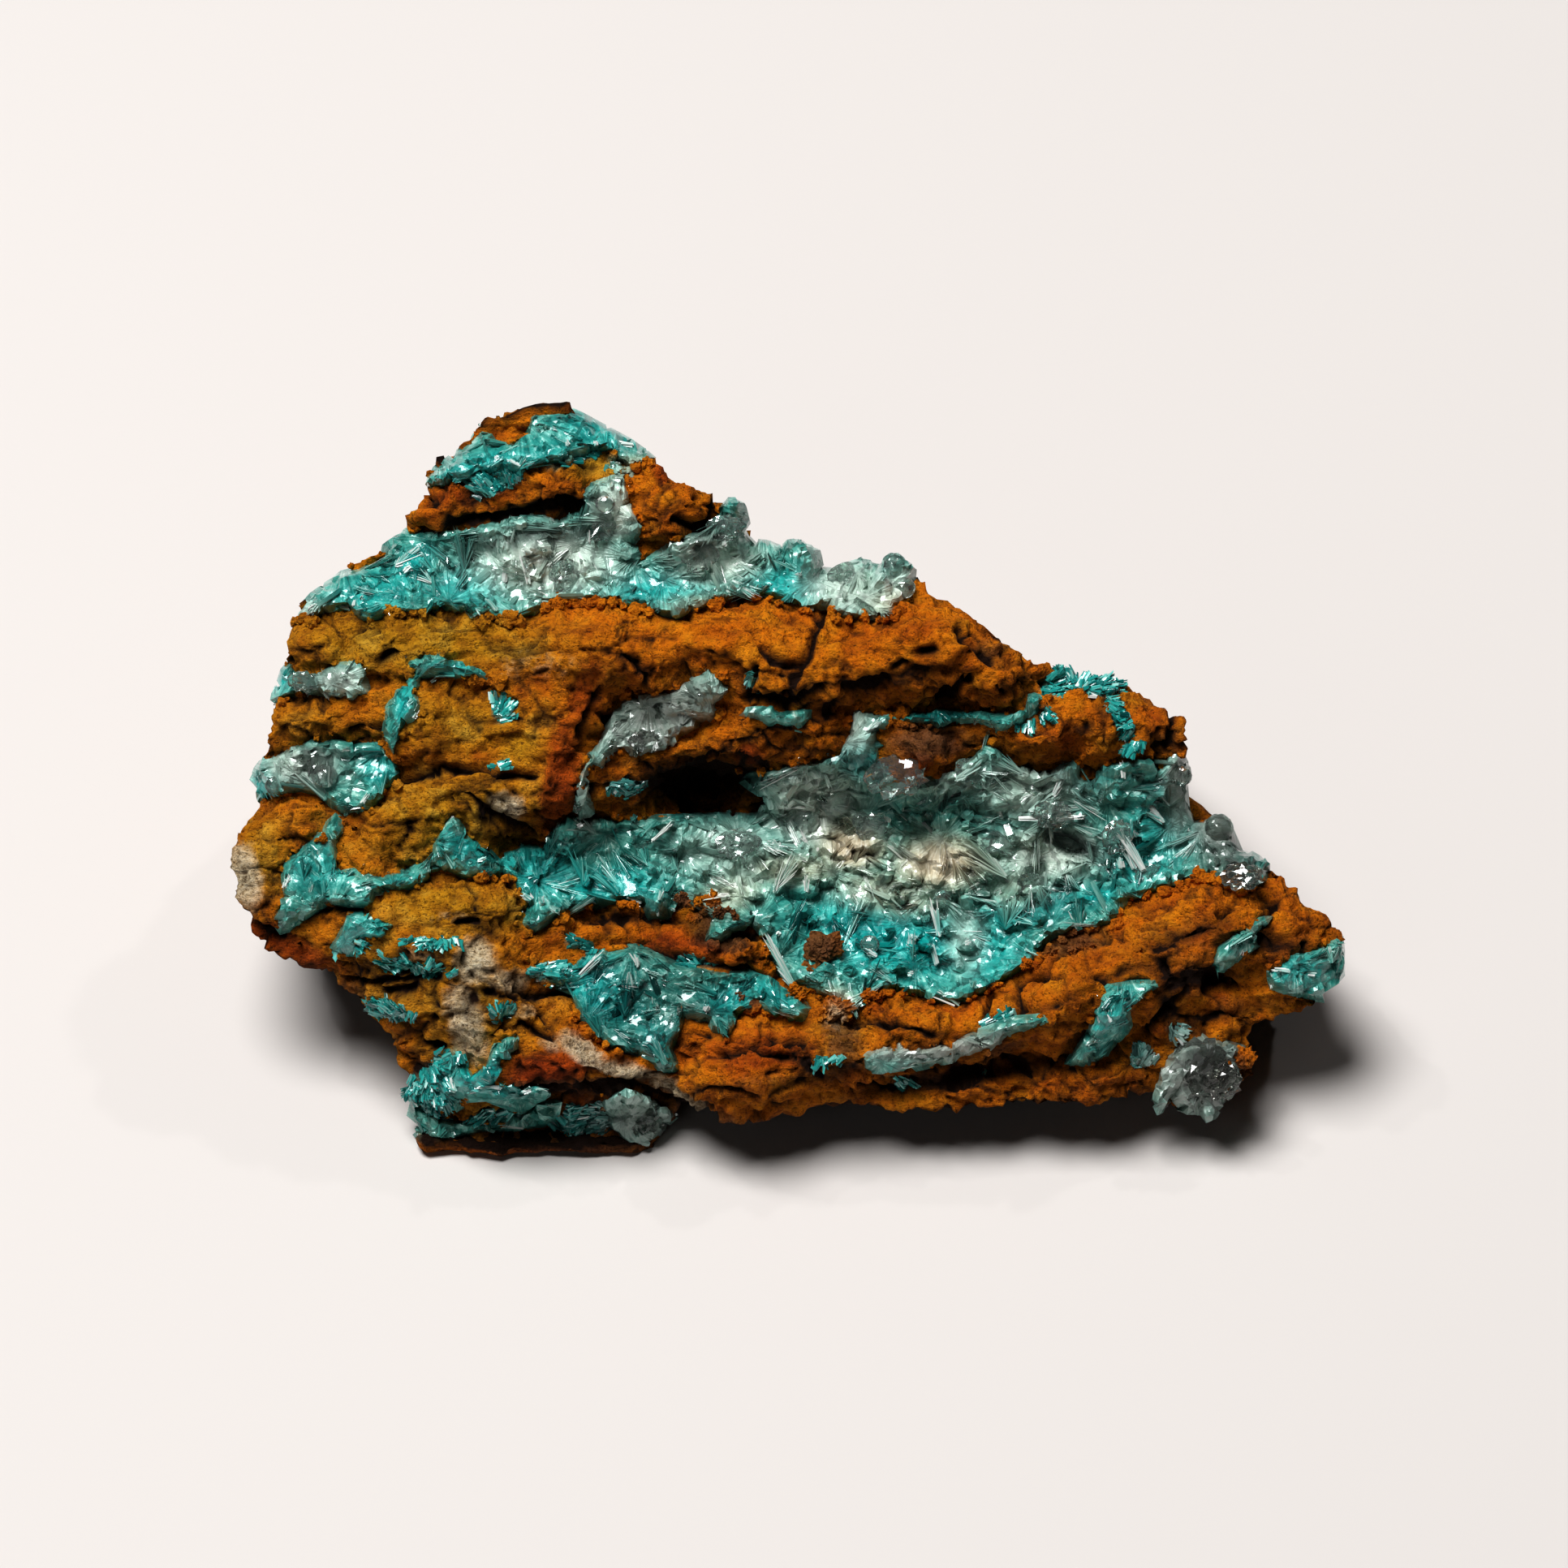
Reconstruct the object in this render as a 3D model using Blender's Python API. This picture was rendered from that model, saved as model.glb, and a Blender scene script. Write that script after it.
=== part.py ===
"""Aurichalcite and hemimorphite crystals in the hollows of a limonite rock, lying on a flat base.

Metres, +Z up, the base on z = 0 and the origin under the middle of the rock. The crystal face leans
back, so its own plane is used for every outline: u runs right, v runs up the face, w comes out of it.
"""

import math
import random
from collections import namedtuple

import bmesh
import bpy
from mathutils import Vector, geometry, noise

MM = 0.001
FACE_TILT = math.radians(50)  # how far the face's normal is turned up from level
FACE_DROP = 17.2  # mm that the face's middle stands above the base
FACE_FORWARD = 2.5  # mm that the face's middle lies in front of the origin
BACK_DEPTH = 20.0  # mm from the middle to the rock's back
FACE_CELL = 1.65  # mm between the points of the rock's face
BACK_CELL = 4.0
CRUST_GAP = 0.3  # mm that a crust keeps off the rock
CRUST_INSET = 0.22
CRUST_THICKNESS = 0.55
RIM_ROUNDING = 1.4
WALL_DENT = 0.045  # share of its distance from the middle that a wall's dent takes
# The rings of the rock's wall: the share of the way back, and the ring's size against the rim's.
WALL_STEPS = ((0.1, 1.0), (0.26, 0.99), (0.42, 0.985), (0.58, 0.965), (0.74, 0.95), (0.88, 0.93), (1.0, 0.89))

# Outlines on the face, (u, v) in mm, clockwise from the left end for the rock.
SILHOUETTE = (
    (-34.8, -4), (-34.3, -2.2), (-32.6, -1), (-32.5, -0.5), (-33.1, 0.9), (-32.3, 2.8), (-32.4, 3.8),
    (-31, 8.2), (-31.1, 8.8), (-29.9, 12), (-27.5, 13.8), (-25.1, 14.4), (-24.9, 15.4), (-23.7, 16.2),
    (-23.6, 17.1), (-22.4, 19.6), (-21.9, 19.8), (-21.6, 20.6), (-21.1, 20.6), (-20.7, 21.4),
    (-19.6, 22.1), (-19.2, 23.2), (-18.3, 23.8), (-14, 24.2), (-9.7, 21.9), (-7.7, 20.4), (-7.2, 19.4),
    (-4.5, 19.2), (-2.5, 16), (-1.6, 15.1), (0, 14.4), (2, 14), (7.6, 13.4), (8.5, 12.9), (9.2, 11.9),
    (11.5, 11.4), (13.2, 10.1), (14.1, 8.9), (15.1, 8.7), (15.8, 8.1), (16.1, 7.4), (19.8, 7.6),
    (20.9, 7.3), (24.6, 5.1), (24.7, 3.4), (24.4, 2.5), (24.9, 1.5), (24.8, 0.4), (25.1, -2),
    (26.7, -1.4), (27.4, -1.9), (28, -3.2), (31, -4.9), (32.1, -6.6), (33.5, -7), (34.3, -8.1),
    (34.6, -9.6), (34.6, -11.2), (33.2, -12.3), (32.9, -13.1), (28.6, -14.6), (28.9, -17.2),
    (28.2, -18.1), (26, -19.6), (24.8, -19.6), (22.8, -18.2), (21.7, -17.9), (20, -18.9), (18, -19.1),
    (7.5, -19.6), (1.5, -19.1), (-0.8, -19.9), (-3.5, -20.1), (-6.5, -19.6), (-7.4, -20.2),
    (-7.6, -21.1), (-8.3, -21.8), (-9.6, -22.2), (-18.5, -22.4), (-21.5, -22.1), (-22.8, -21.6),
    (-23.1, -21), (-22.9, -20.6), (-23.4, -19.9), (-23.1, -18.7), (-23.5, -18.2), (-23.2, -17.7),
    (-24.5, -16.3), (-24.7, -15.5), (-26.4, -13), (-27.3, -12.6), (-28.3, -11.2), (-32, -9.9),
    (-33, -9.1), (-34.5, -5.8),
)
PEAK_HOLLOW = (
    (-22.1, 19), (-21.9, 20.1), (-19.5, 21.8), (-18.9, 22.8), (-18.2, 22.4), (-17.9, 21.7),
    (-16.9, 21.6), (-16.1, 22.2), (-15.9, 23.6), (-11.8, 23.8), (-8.1, 21), (-8.8, 20.3), (-9.9, 20.1),
    (-10.9, 21), (-12.1, 21.2), (-12.9, 20.7), (-16.2, 19.8), (-17.5, 19.9),
)
UPPER_SHELF = (
    (-30.5, 10.8), (-28.5, 14), (-25.1, 15.2), (-24.6, 16), (-23.4, 16.4), (-21.5, 16.2), (-16, 17.3),
    (-14.1, 17), (-12.2, 17.6), (-12.5, 18.9), (-11.4, 19.6), (-9.9, 19.9), (-9.7, 17.9), (-8.9, 16.9),
    (-9.3, 15.6), (-9.2, 14.5), (-6.6, 15.9), (-4.9, 16.1), (-3.6, 18.5), (-0.4, 15), (7, 14.3),
    (8.1, 13.4), (7.4, 12.6), (7.1, 11.5), (6.1, 10.8), (4.5, 10.7), (3.1, 10.8), (2.4, 11.4),
    (1.5, 11.2), (-1.2, 12.1), (-3.2, 12), (-7.2, 10.8), (-10.5, 11.8), (-13.2, 11.8), (-14.7, 11.7),
    (-16.5, 10.6), (-18.7, 10.6), (-21.2, 11.5), (-22.8, 10.9), (-24.5, 11.2), (-25.6, 10.5),
    (-27, 11.5), (-28.4, 11.3), (-29.7, 10.6),
)
LEFT_NOTCH = (
    (-32.2, 6.5), (-31.5, 7.9), (-30.7, 8.1), (-29.9, 7.6), (-28.9, 7.6), (-27.1, 8.4), (-26.3, 8.4),
    (-25.8, 7.5), (-25.7, 5.9), (-30.2, 6.2), (-31.6, 5.6),
)
LEFT_CHANNEL = (
    (-22, 8.9), (-20.9, 8.2), (-19, 8), (-17.7, 7), (-18.5, 6.8), (-21.2, 7.4), (-22.5, 7.1),
    (-22.9, 6.4), (-22.4, 5.3), (-22.8, 4.5), (-23.5, 4.5), (-24.1, 2.5), (-24.8, 3.7), (-24.6, 5.4),
    (-24.2, 6.4), (-23.4, 6.8), (-23.1, 7.5), (-23.5, 8.2),
)
LEFT_POCKET = (
    (-33.5, 0.9), (-33, 1.8), (-28.4, 3.7), (-26.8, 3), (-25, 3.4), (-24.3, 2.8), (-23.9, 1.6),
    (-24, 0.7), (-24.8, 0.2), (-25.6, -1), (-26.7, -1.2), (-28.1, -0.8), (-28.9, 0), (-30, 0.1),
    (-32.9, -0.6),
)
LEFT_SEAM = (
    (-27.9, -1.1), (-27.3, -1.6), (-28, -4.7), (-26.5, -4.4), (-24.9, -5), (-23.6, -4.7), (-22, -3.5),
    (-21, -1.7), (-20.4, -1.2), (-19.7, -2.5), (-18.9, -2.8), (-17.8, -4.4), (-17.9, -5.1),
    (-19.9, -5.2), (-21, -4.6), (-21.9, -4.8), (-22.8, -5.8), (-25.3, -6), (-25.6, -6.8),
    (-28.4, -6.7), (-31.1, -8.5), (-31.6, -7.8), (-30.9, -6.2), (-31.3, -4.3), (-28.7, -2.2),
)
LEFT_PATCH = (
    (-28.1, -9.3), (-27.1, -7.5), (-25.9, -7.2), (-25.2, -7.8), (-24.4, -7.5), (-24.1, -8.1),
    (-25.1, -8.8), (-26.1, -9), (-26.5, -9.7), (-27.3, -9.9),
)
MAIN_VUG = (
    (-17.9, -4.3), (-17.4, -3.4), (-16.2, -3), (-15.2, -3.3), (-14.8, -2.2), (-13.9, -1.3),
    (-12.3, -1.5), (-1.7, -1.1), (-1.3, -0.2), (-3, 0.9), (0.4, 2), (3.3, 2.5), (3.9, 3.7), (4, 5.4),
    (5.3, 5), (8.5, 5), (9.9, 5.5), (14.1, 4.9), (14.8, 5.4), (14.9, 6.2), (15.9, 6.4), (15.5, 5),
    (13, 3.7), (12.7, 4.2), (11.3, 4.5), (8, 4.2), (6.7, 4.5), (5.8, 4.1), (5.6, 2.2), (7.3, 1.2),
    (8.8, 1.1), (10.4, 1.5), (12.6, 3.3), (13.5, 1.9), (15.1, 1.5), (16.1, 1.4), (17.9, 2.5),
    (18.2, 1.2), (18.8, 0.6), (19.2, 1.8), (20.3, 2.2), (22.5, 2.6), (22.7, 0.9), (23.2, 2.3),
    (23.8, 2.8), (25.2, 2.8), (25.8, -1), (27, -0.8), (29.8, -4.3), (29.5, -5.3), (28.5, -5.9),
    (26, -5.3), (24.6, -5.4), (22.7, -6.3), (21.3, -6.5), (20.6, -7), (20.4, -7.9), (19.5, -8.4),
    (18.3, -8.3), (16.3, -9), (15.9, -9.8), (13.2, -11.8), (10.2, -13.1), (6.4, -12.1), (4.9, -12.3),
    (4.6, -13.6), (3.9, -13.7), (3.3, -12.8), (-0.2, -11.6), (-1, -10.5), (-1.6, -8.6), (-2.2, -7.9),
    (-4.5, -9.3), (-5.1, -9), (-4.4, -7.8), (-7, -5.9), (-7.3, -7.5), (-8.5, -7.8), (-9, -6.6),
    (-11.5, -6.9), (-13.4, -7.2), (-15.8, -8.6), (-16.5, -7.9), (-16, -7),
)
GREY_POCKET = (
    (-10.4, 5.6), (-9.6, 6.2), (-7.2, 6.5), (-4.9, 7.8), (-3.9, 7.4), (-3.7, 6.5), (-4.3, 5.6),
    (-4.1, 4.9), (-6.6, 3.7), (-7.1, 2.9), (-9.1, 2.2), (-10.3, 2.7), (-12.3, 1.5), (-12.4, 0.2),
    (-12, -1), (-12.7, -1.4), (-13.3, -1), (-12.4, 2.2),
)
MIDDLE_SEAM = (
    (-2.6, 4.8), (-2.8, 5.1), (-2.2, 5.6), (-0.5, 5.1), (1.5, 5.3), (0.8, 4),
)
LOWER_POCKET = (
    (-15.9, -10.2), (-15.3, -10.8), (-13.5, -10.7), (-12.5, -9.9), (-9.4, -9.2), (-6.9, -10.4),
    (-3.6, -11.1), (-2.5, -10.8), (-1.3, -11.2), (1.4, -13.1), (1, -14.1), (-2, -13.2), (-3.2, -13.5),
    (-3.6, -15), (-4.3, -14.9), (-4.9, -14.1), (-6.2, -13.5), (-7, -15.5), (-6.6, -16.4),
    (-6.8, -17.1), (-8.2, -16.8), (-9.2, -16.1), (-10.5, -15.9), (-12.8, -14.1), (-13.3, -11.8),
    (-15.1, -11.6), (-15.7, -11.1),
)
FOOT_DRUSE = (
    (-21.2, -17.9), (-20.4, -16.3), (-19.8, -16.4), (-19.4, -17.4), (-18.4, -16.9), (-17.9, -14.9),
    (-17, -14.5), (-16.5, -14.9), (-16.8, -16), (-17.6, -16.4), (-17.9, -17.5), (-14.4, -18.1),
    (-16.5, -19.6), (-18.6, -18.7), (-19.8, -18.8), (-20.5, -19.4),
)
FOOT_SEAM = (
    (-24, -18.2), (-23.1, -18), (-22.5, -19.6), (-21.5, -20.1), (-17.9, -20.3), (-16.5, -19.9),
    (-14.3, -18.6), (-14, -19.1), (-14.7, -20.4), (-20.5, -21.3), (-22.8, -21.2), (-23.8, -20.2),
)
FOOT_HOLLOW = (
    (-11.4, -18.6), (-10, -18.1), (-8.8, -18.5), (-6.8, -20), (-7.1, -21.4), (-8.2, -22.2),
    (-9.5, -21.9), (-10.7, -21),
)
RIGHT_SEAM = (
    (19.1, -12.3), (19.8, -11.7), (22.7, -11.2), (22.9, -11.8), (20.9, -13.1), (21.1, -14.3),
    (19.4, -16.1), (18.5, -16.8), (17.1, -16.5), (18.5, -14.7),
)
RIGHT_END = (
    (29.6, -10.8), (30.5, -9.9), (31.8, -9.8), (34.4, -8.6), (35.5, -9.2), (35.5, -11.8),
    (33.5, -12.8), (30, -12.1),
)
RIGHT_HOLLOW = (
    (26.1, -10.8), (26.6, -9.2), (28.9, -7.6), (29.8, -7.7), (28.5, -8.5), (29.1, -9.4), (26.9, -10.6),
    (26.5, -11.3),
)
GREY_SEAM = (
    (4.9, -15.7), (6.5, -15.4), (10.1, -15.5), (11.5, -14.6), (14, -13.7), (16.3, -13.5),
    (16.5, -13.9), (13.5, -14.8), (12.2, -15.8), (6.1, -17.3), (5, -17), (4.6, -16.3),
)
UNDER_CORNER = (
    (22.8, -16.9), (24, -15.5), (25.5, -14.8), (28.3, -15.5), (28.3, -16.8), (26, -20.2),
    (24.2, -20.2),
)
BLACK_HOLE = (
    (-8.5, -1.3), (-7.4, 1.1), (-6, 1.8), (-3.2, 1.4), (-2.8, 0.6), (-1.3, -0.3), (-1.7, -1.2),
)
CAVE = (
    (-14.3, -8.4), (-13.3, -7.6), (-9.1, -6.7), (-8.8, -7.5), (-9.1, -8.5), (-11, -9.1),
)
CREVICE = (
    (7.4, -18.3), (11, -17.4), (13.5, -16.1), (15.3, -15.7), (17, -16), (16.8, -16.6), (14.5, -16.9),
    (11.5, -18), (9.5, -18.4),
)
RIGHT_CAVE = (
    (25.5, -12.1), (27.1, -10.6), (28.5, -9.9), (29.5, -10.8), (29.9, -12), (26, -12.3), (26.2, -14.1),
    (25.7, -14.5), (24.8, -14.1), (25, -12.8),
)
RIGHT_SLOT = (
    (22.9, -8.8), (25, -7.9), (26.5, -7.7), (26.4, -8.1), (25.4, -8.5), (25, -9.4), (23.3, -9.3),
)
END_SLOT = (
    (28.8, -9), (29.1, -8.3), (30.5, -7.7), (31.5, -7.8), (31.4, -8.8), (30.3, -9.3), (29.1, -9.6),
)
BAND_GAP = (
    (3.5, 5.9), (6.3, 7.8), (7.1, 7.7), (7, 6.9), (5.7, 6.6), (4, 5.4),
)
BAND_DENT = (
    (9.3, 6.1), (10, 6.6), (11, 6.5), (10.9, 5.8), (10, 5.5), (9.4, 5.7),
)

# A lump or ledge of the rock: its middle, its length and height, its slant in degrees, and its rise.
Swell = namedtuple("Swell", "u v length height slant rise")
SWELLS = (
    Swell(-16.5, 23.4, 5.0, 1.3, 4, 0.9),  # rim of the peak
    Swell(-17.0, 18.5, 7.5, 1.8, 8, 2.0),  # ledge across the peak
    Swell(-7.0, 17.8, 3.4, 2.4, -10, 2.2),  # block right of the peak
    Swell(-21.0, 9.4, 12.0, 2.2, -4, 2.0),  # long band, left half
    Swell(1.5, 9.0, 14.0, 3.0, 0, 2.7),  # long band, right half
    Swell(11.5, 8.2, 5.0, 3.0, -28, 1.8),  # end of the long band
    Swell(-13.6, 2.0, 5.0, 1.8, 80, 1.8),  # upright rib
    Swell(-8.5, 1.8, 4.5, 1.2, 12, 1.6),  # bridge over the black hole
    Swell(0.5, 4.0, 4.2, 3.0, 10, 2.2),  # blocks under the band
    Swell(9.0, 3.0, 4.5, 1.8, 0, 1.6),  # brown lump
    Swell(19.5, 4.0, 6.0, 2.4, -12, 1.5),  # right shoulder
    Swell(-30.0, 4.4, 4.5, 2.0, 10, 1.2),  # left ledge
    Swell(-20.0, 4.4, 6.0, 2.4, 0, 1.8),  # ledge beside the channel
    Swell(-20.5, -1.2, 6.5, 2.4, 14, 2.2),  # third ledge
    Swell(-32.8, -5.0, 2.4, 3.6, 0, 0.8),  # left end lobe
    Swell(-21.0, -8.0, 7.0, 2.6, -6, 2.0),  # ledge over the lower left
    Swell(-19.0, -13.0, 7.0, 2.6, -22, 1.6),  # lower left mass
    Swell(-14.6, -16.8, 4.0, 1.6, 10, 1.6),  # ledge over the foot
    Swell(-6.0, -18.4, 6.0, 1.2, -18, 1.2),  # pale ribbon
    Swell(-1.0, -9.6, 5.0, 1.8, -12, 1.2),  # crumbly ledge in the middle
    Swell(-1.0, -16.6, 6.0, 2.8, 0, 2.2),  # lower middle mass
    Swell(12.0, -14.0, 9.0, 2.0, 12, 2.2),  # lower ledge
    Swell(15.0, -18.2, 8.0, 1.1, 6, 1.4),  # bottom strip
    Swell(22.0, -10.8, 7.0, 3.2, 20, 2.6),  # right ledge
    Swell(29.0, -8.2, 3.5, 1.6, -20, 1.6),  # right end block
    Swell(28.5, -13.4, 3.6, 0.9, 10, 1.0),  # right end wedge
    Swell(-15.5, -20.6, 9.5, 1.8, 0, -3.6),  # recess of the foot
    Swell(4.0, -4.0, 20.0, 7.0, -8, -1.4),  # broad hollow of the main vug
)

# A hollow with crystals: how deep its floor lies, and how long and how slender its crystals are.
Hollow = namedtuple("Hollow", "outline depth shortest longest taper stone")
TEAL, GREY = "aurichalcite", "hemimorphite"
HOLLOWS = {
    "peak_crystals": Hollow(PEAK_HOLLOW, 1.7, 0.7, 1.6, 0.45, TEAL),
    "upper_shelf_crystals": Hollow(UPPER_SHELF, 3.2, 0.9, 2.4, 0.45, TEAL),
    "left_notch_crystals": Hollow(LEFT_NOTCH, 1.6, 0.6, 1.2, 0.5, TEAL),
    "left_channel_crystals": Hollow(LEFT_CHANNEL, 1.4, 0.4, 0.9, 0.5, TEAL),
    "left_pocket_crystals": Hollow(LEFT_POCKET, 2.4, 0.8, 1.9, 0.5, GREY),
    "left_seam_crystals": Hollow(LEFT_SEAM, 1.9, 0.6, 1.4, 0.45, TEAL),
    "left_patch_crystals": Hollow(LEFT_PATCH, 1.1, 0.3, 0.6, 0.5, TEAL),
    "main_vug_crystals": Hollow(MAIN_VUG, 4.2, 0.9, 2.8, 0.4, TEAL),
    "grey_pocket_crystals": Hollow(GREY_POCKET, 2.2, 0.7, 1.6, 0.55, GREY),
    "middle_seam_crystals": Hollow(MIDDLE_SEAM, 1.2, 0.3, 0.7, 0.5, TEAL),
    "lower_pocket_crystals": Hollow(LOWER_POCKET, 2.6, 0.8, 1.9, 0.4, TEAL),
    "foot_druse_crystals": Hollow(FOOT_DRUSE, 1.4, 0.5, 1.1, 0.5, TEAL),
    "foot_seam_crystals": Hollow(FOOT_SEAM, 0.9, 0.3, 0.7, 0.5, TEAL),
    "foot_hollow_crystals": Hollow(FOOT_HOLLOW, 1.4, 0.6, 1.2, 0.55, GREY),
    "right_seam_crystals": Hollow(RIGHT_SEAM, 1.6, 0.5, 1.1, 0.5, TEAL),
    "right_end_crystals": Hollow(RIGHT_END, 1.4, 0.6, 1.3, 0.55, TEAL),
    "right_hollow_crystals": Hollow(RIGHT_HOLLOW, 2.2, 0.4, 0.9, 0.5, TEAL),
    "grey_seam_crystals": Hollow(GREY_SEAM, 1.2, 0.3, 0.7, 0.55, GREY),
    "corner_cluster_crystals": Hollow(UNDER_CORNER, 1.2, 0.9, 1.8, 0.6, GREY),
}

# A hollow with bare rock walls, and how deep it goes.
DARK_HOLLOWS = (
    (BLACK_HOLE, 8.5),
    (CAVE, 4.0),
    (CREVICE, 2.6),
    (RIGHT_CAVE, 4.2),
    (RIGHT_SLOT, 2.4),
    (END_SLOT, 2.4),
    (BAND_GAP, 2.0),
    (BAND_DENT, 1.3),
)

# A long crystal of a crust: its foot on the face, its tip from there, and the share of width left there.
Spire = namedtuple("Spire", "u v du dv dw tip")
SPIRES = {
    "upper_shelf_crystals": (
        Spire(-0.3, 15.0, 0.0, 1.4, 1.2, 0.35),
        Spire(1.6, 14.6, -0.1, 2.2, 1.4, 0.25),
        Spire(4.0, 14.5, 0.0, 1.2, 1.4, 0.5),
        Spire(5.2, 14.0, 0.1, 1.3, 1.6, 0.4),
        Spire(7.0, 13.6, 0.3, 1.2, 1.4, 0.4),
        Spire(-2.6, 16.6, 0.3, 1.2, 1.0, 0.4),
    ),
    "corner_cluster_crystals": (
        Spire(23.6, -17.6, -0.9, -1.6, 0.8, 0.5),
        Spire(25.6, -18.6, 0.0, -1.0, 1.4, 0.5),
    ),
}

# Places that the laths of a spray spread from.
SPRAY_HEARTS = (
    (-19.0, 20.6), (-10.5, 22.0), (-20.5, 13.0), (-14.0, 14.5), (-8.0, 13.0), (1.0, 12.4), (-27.0, 12.2),
    (-15.0, -5.4), (-9.0, -3.6), (-3.0, -4.6), (1.0, -1.2), (8.0, -2.0), (4.0, -8.6), (12.5, -9.6),
    (12.0, -4.0), (18.0, -3.6), (21.0, 0.4), (26.5, -3.6), (-10.0, -13.6), (-5.0, -12.4), (-29.0, -5.4),
    (-21.0, -3.2), (-30.0, 1.0),
)
SPRAY_LEAN = 0.3


def clear_scene():
    for old in list(bpy.data.objects):
        bpy.data.objects.remove(old, do_unlink=True)


def place(u, v, w):
    """A point of the face's own axes, in mm, as a point of the world, in metres."""
    sine, cosine = math.sin(FACE_TILT), math.cos(FACE_TILT)
    return Vector((u, v * sine - w * cosine - FACE_FORWARD, v * cosine + w * sine + FACE_DROP)) * MM


def base_level(v):
    """The w at which the face's point at height v would touch the base."""
    return -(FACE_DROP + v * math.cos(FACE_TILT)) / math.sin(FACE_TILT)


def segment_distance(point, start, end):
    _, share = geometry.intersect_point_line(point, start, end)
    return (point - start.lerp(end, min(max(share, 0.0), 1.0))).length


def outline_distance(u, v, outline):
    point = Vector((u, v))
    ends = [Vector(p) for p in outline]
    return min(segment_distance(point, ends[i - 1], ends[i]) for i in range(len(ends)))


def inside(u, v, outline):
    """Whether the point lies inside the outline, by counting the sides that a ray to the right crosses."""
    crossed = False
    for (u0, v0), (u1, v1) in zip(outline, outline[1:] + outline[:1]):
        if (v0 > v) != (v1 > v) and u < u0 + (v - v0) / (v1 - v0) * (u1 - u0):
            crossed = not crossed
    return crossed


def even_outline(outline, longest):
    """The outline with its long sides cut into shorter ones."""
    points = []
    for start, end in zip(outline, outline[1:] + outline[:1]):
        pieces = max(1, round(math.dist(start, end) / longest))
        for i in range(pieces):
            share = i / pieces
            points.append(Vector(start).lerp(Vector(end), share))
    return points


def scattered_points(outline, cell, margin, seed, keep_off=()):
    """Points in rows over the outline's inside, each a little off its place."""
    rng = random.Random(seed)
    lowest_u, highest_u = min(p[0] for p in outline), max(p[0] for p in outline)
    lowest_v, highest_v = min(p[1] for p in outline), max(p[1] for p in outline)
    row_height = cell * math.sqrt(3) / 2
    points = []
    for row in range(int((highest_v - lowest_v) / row_height) + 1):
        for column in range(int((highest_u - lowest_u) / cell) + 2):
            u = lowest_u + (column + row % 2 / 2) * cell + rng.uniform(-0.2, 0.2) * cell
            v = lowest_v + row * row_height + rng.uniform(-0.2, 0.2) * cell
            if not inside(u, v, outline) or outline_distance(u, v, outline) < margin:
                continue
            if all(outline_distance(u, v, other) > margin for other in keep_off):
                points.append(Vector((u, v)))
    return points


def swell_height(swell, u, v):
    slant = math.radians(swell.slant)
    along = (u - swell.u) * math.cos(slant) + (v - swell.v) * math.sin(slant)
    across = (v - swell.v) * math.cos(slant) - (u - swell.u) * math.sin(slant)
    return swell.rise * math.exp(-((along / swell.length) ** 4) - (across / swell.height) ** 4)


def roughness(u, v, w=0.0):
    """Lumps of about 4 mm and ledges of about 2 mm, in mm."""
    lumps = noise.noise(Vector((u, v, w)) / 4.2 + Vector((7, 3, 1)))
    crags = noise.noise(Vector((u / 2.4, v / 1.3, w / 2.0)) + Vector((2, 9, 4)))
    return 1.1 * lumps + 0.8 * crags


def face_height(u, v):
    """How far the rock's face stands out at (u, v), in mm."""
    height = 0.6 + sum(swell_height(swell, u, v) for swell in SWELLS) + roughness(u, v)
    height -= 2.0 * math.exp(-outline_distance(u, v, SILHOUETTE) / RIM_ROUNDING)
    for hollow in HOLLOWS.values():
        distance = outline_distance(u, v, hollow.outline)
        if distance < 0.02 or inside(u, v, hollow.outline):
            height -= hollow.depth * (0.45 + 0.55 * min(distance / 2.2, 1.0))
            break
    for outline, depth in DARK_HOLLOWS:
        distance = outline_distance(u, v, outline)
        if distance < 0.02 or inside(u, v, outline):
            height -= depth * (0.3 + 0.7 * min(distance / 1.0, 1.0))
            break
    return max(height, base_level(v))


def back_height(u, v):
    """How far behind the face the rock ends: at its base or its back, whichever comes first.

    The base is flat where the noise is low and hollowed by up to about 1.5 mm elsewhere."""
    lumps = noise.noise(Vector((u / 9, v / 7, 5)))
    crags = noise.noise(Vector((u / 3.4, v / 3.4, 8)))
    reach = BACK_DEPTH + 2.2 * lumps + 1.3 * crags
    back = (v * math.sin(FACE_TILT) - reach) / math.cos(FACE_TILT)
    hollowed = max(0.0, 2.4 * lumps + 1.2 * crags - 0.25)
    return max(back, base_level(v) + min(hollowed, 1.6))


def triangulate(outlines, points):
    """Triangles over the first outline, each with the set of the outlines that it lies in."""
    coords, faces = [], []
    for outline in outlines:
        turn = sum(a.cross(b) for a, b in zip(outline, outline[1:] + outline[:1]))
        numbers = list(range(len(coords), len(coords) + len(outline)))
        faces.append(numbers if turn > 0 else numbers[::-1])
        coords += outline
    coords += points
    places, _, triangles, _, _, owners = geometry.delaunay_2d_cdt(coords, [], faces, 1, 1e-4)
    kept = [(tri, set(own)) for tri, own in zip(triangles, owners) if 0 in own]
    return places, kept


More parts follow.
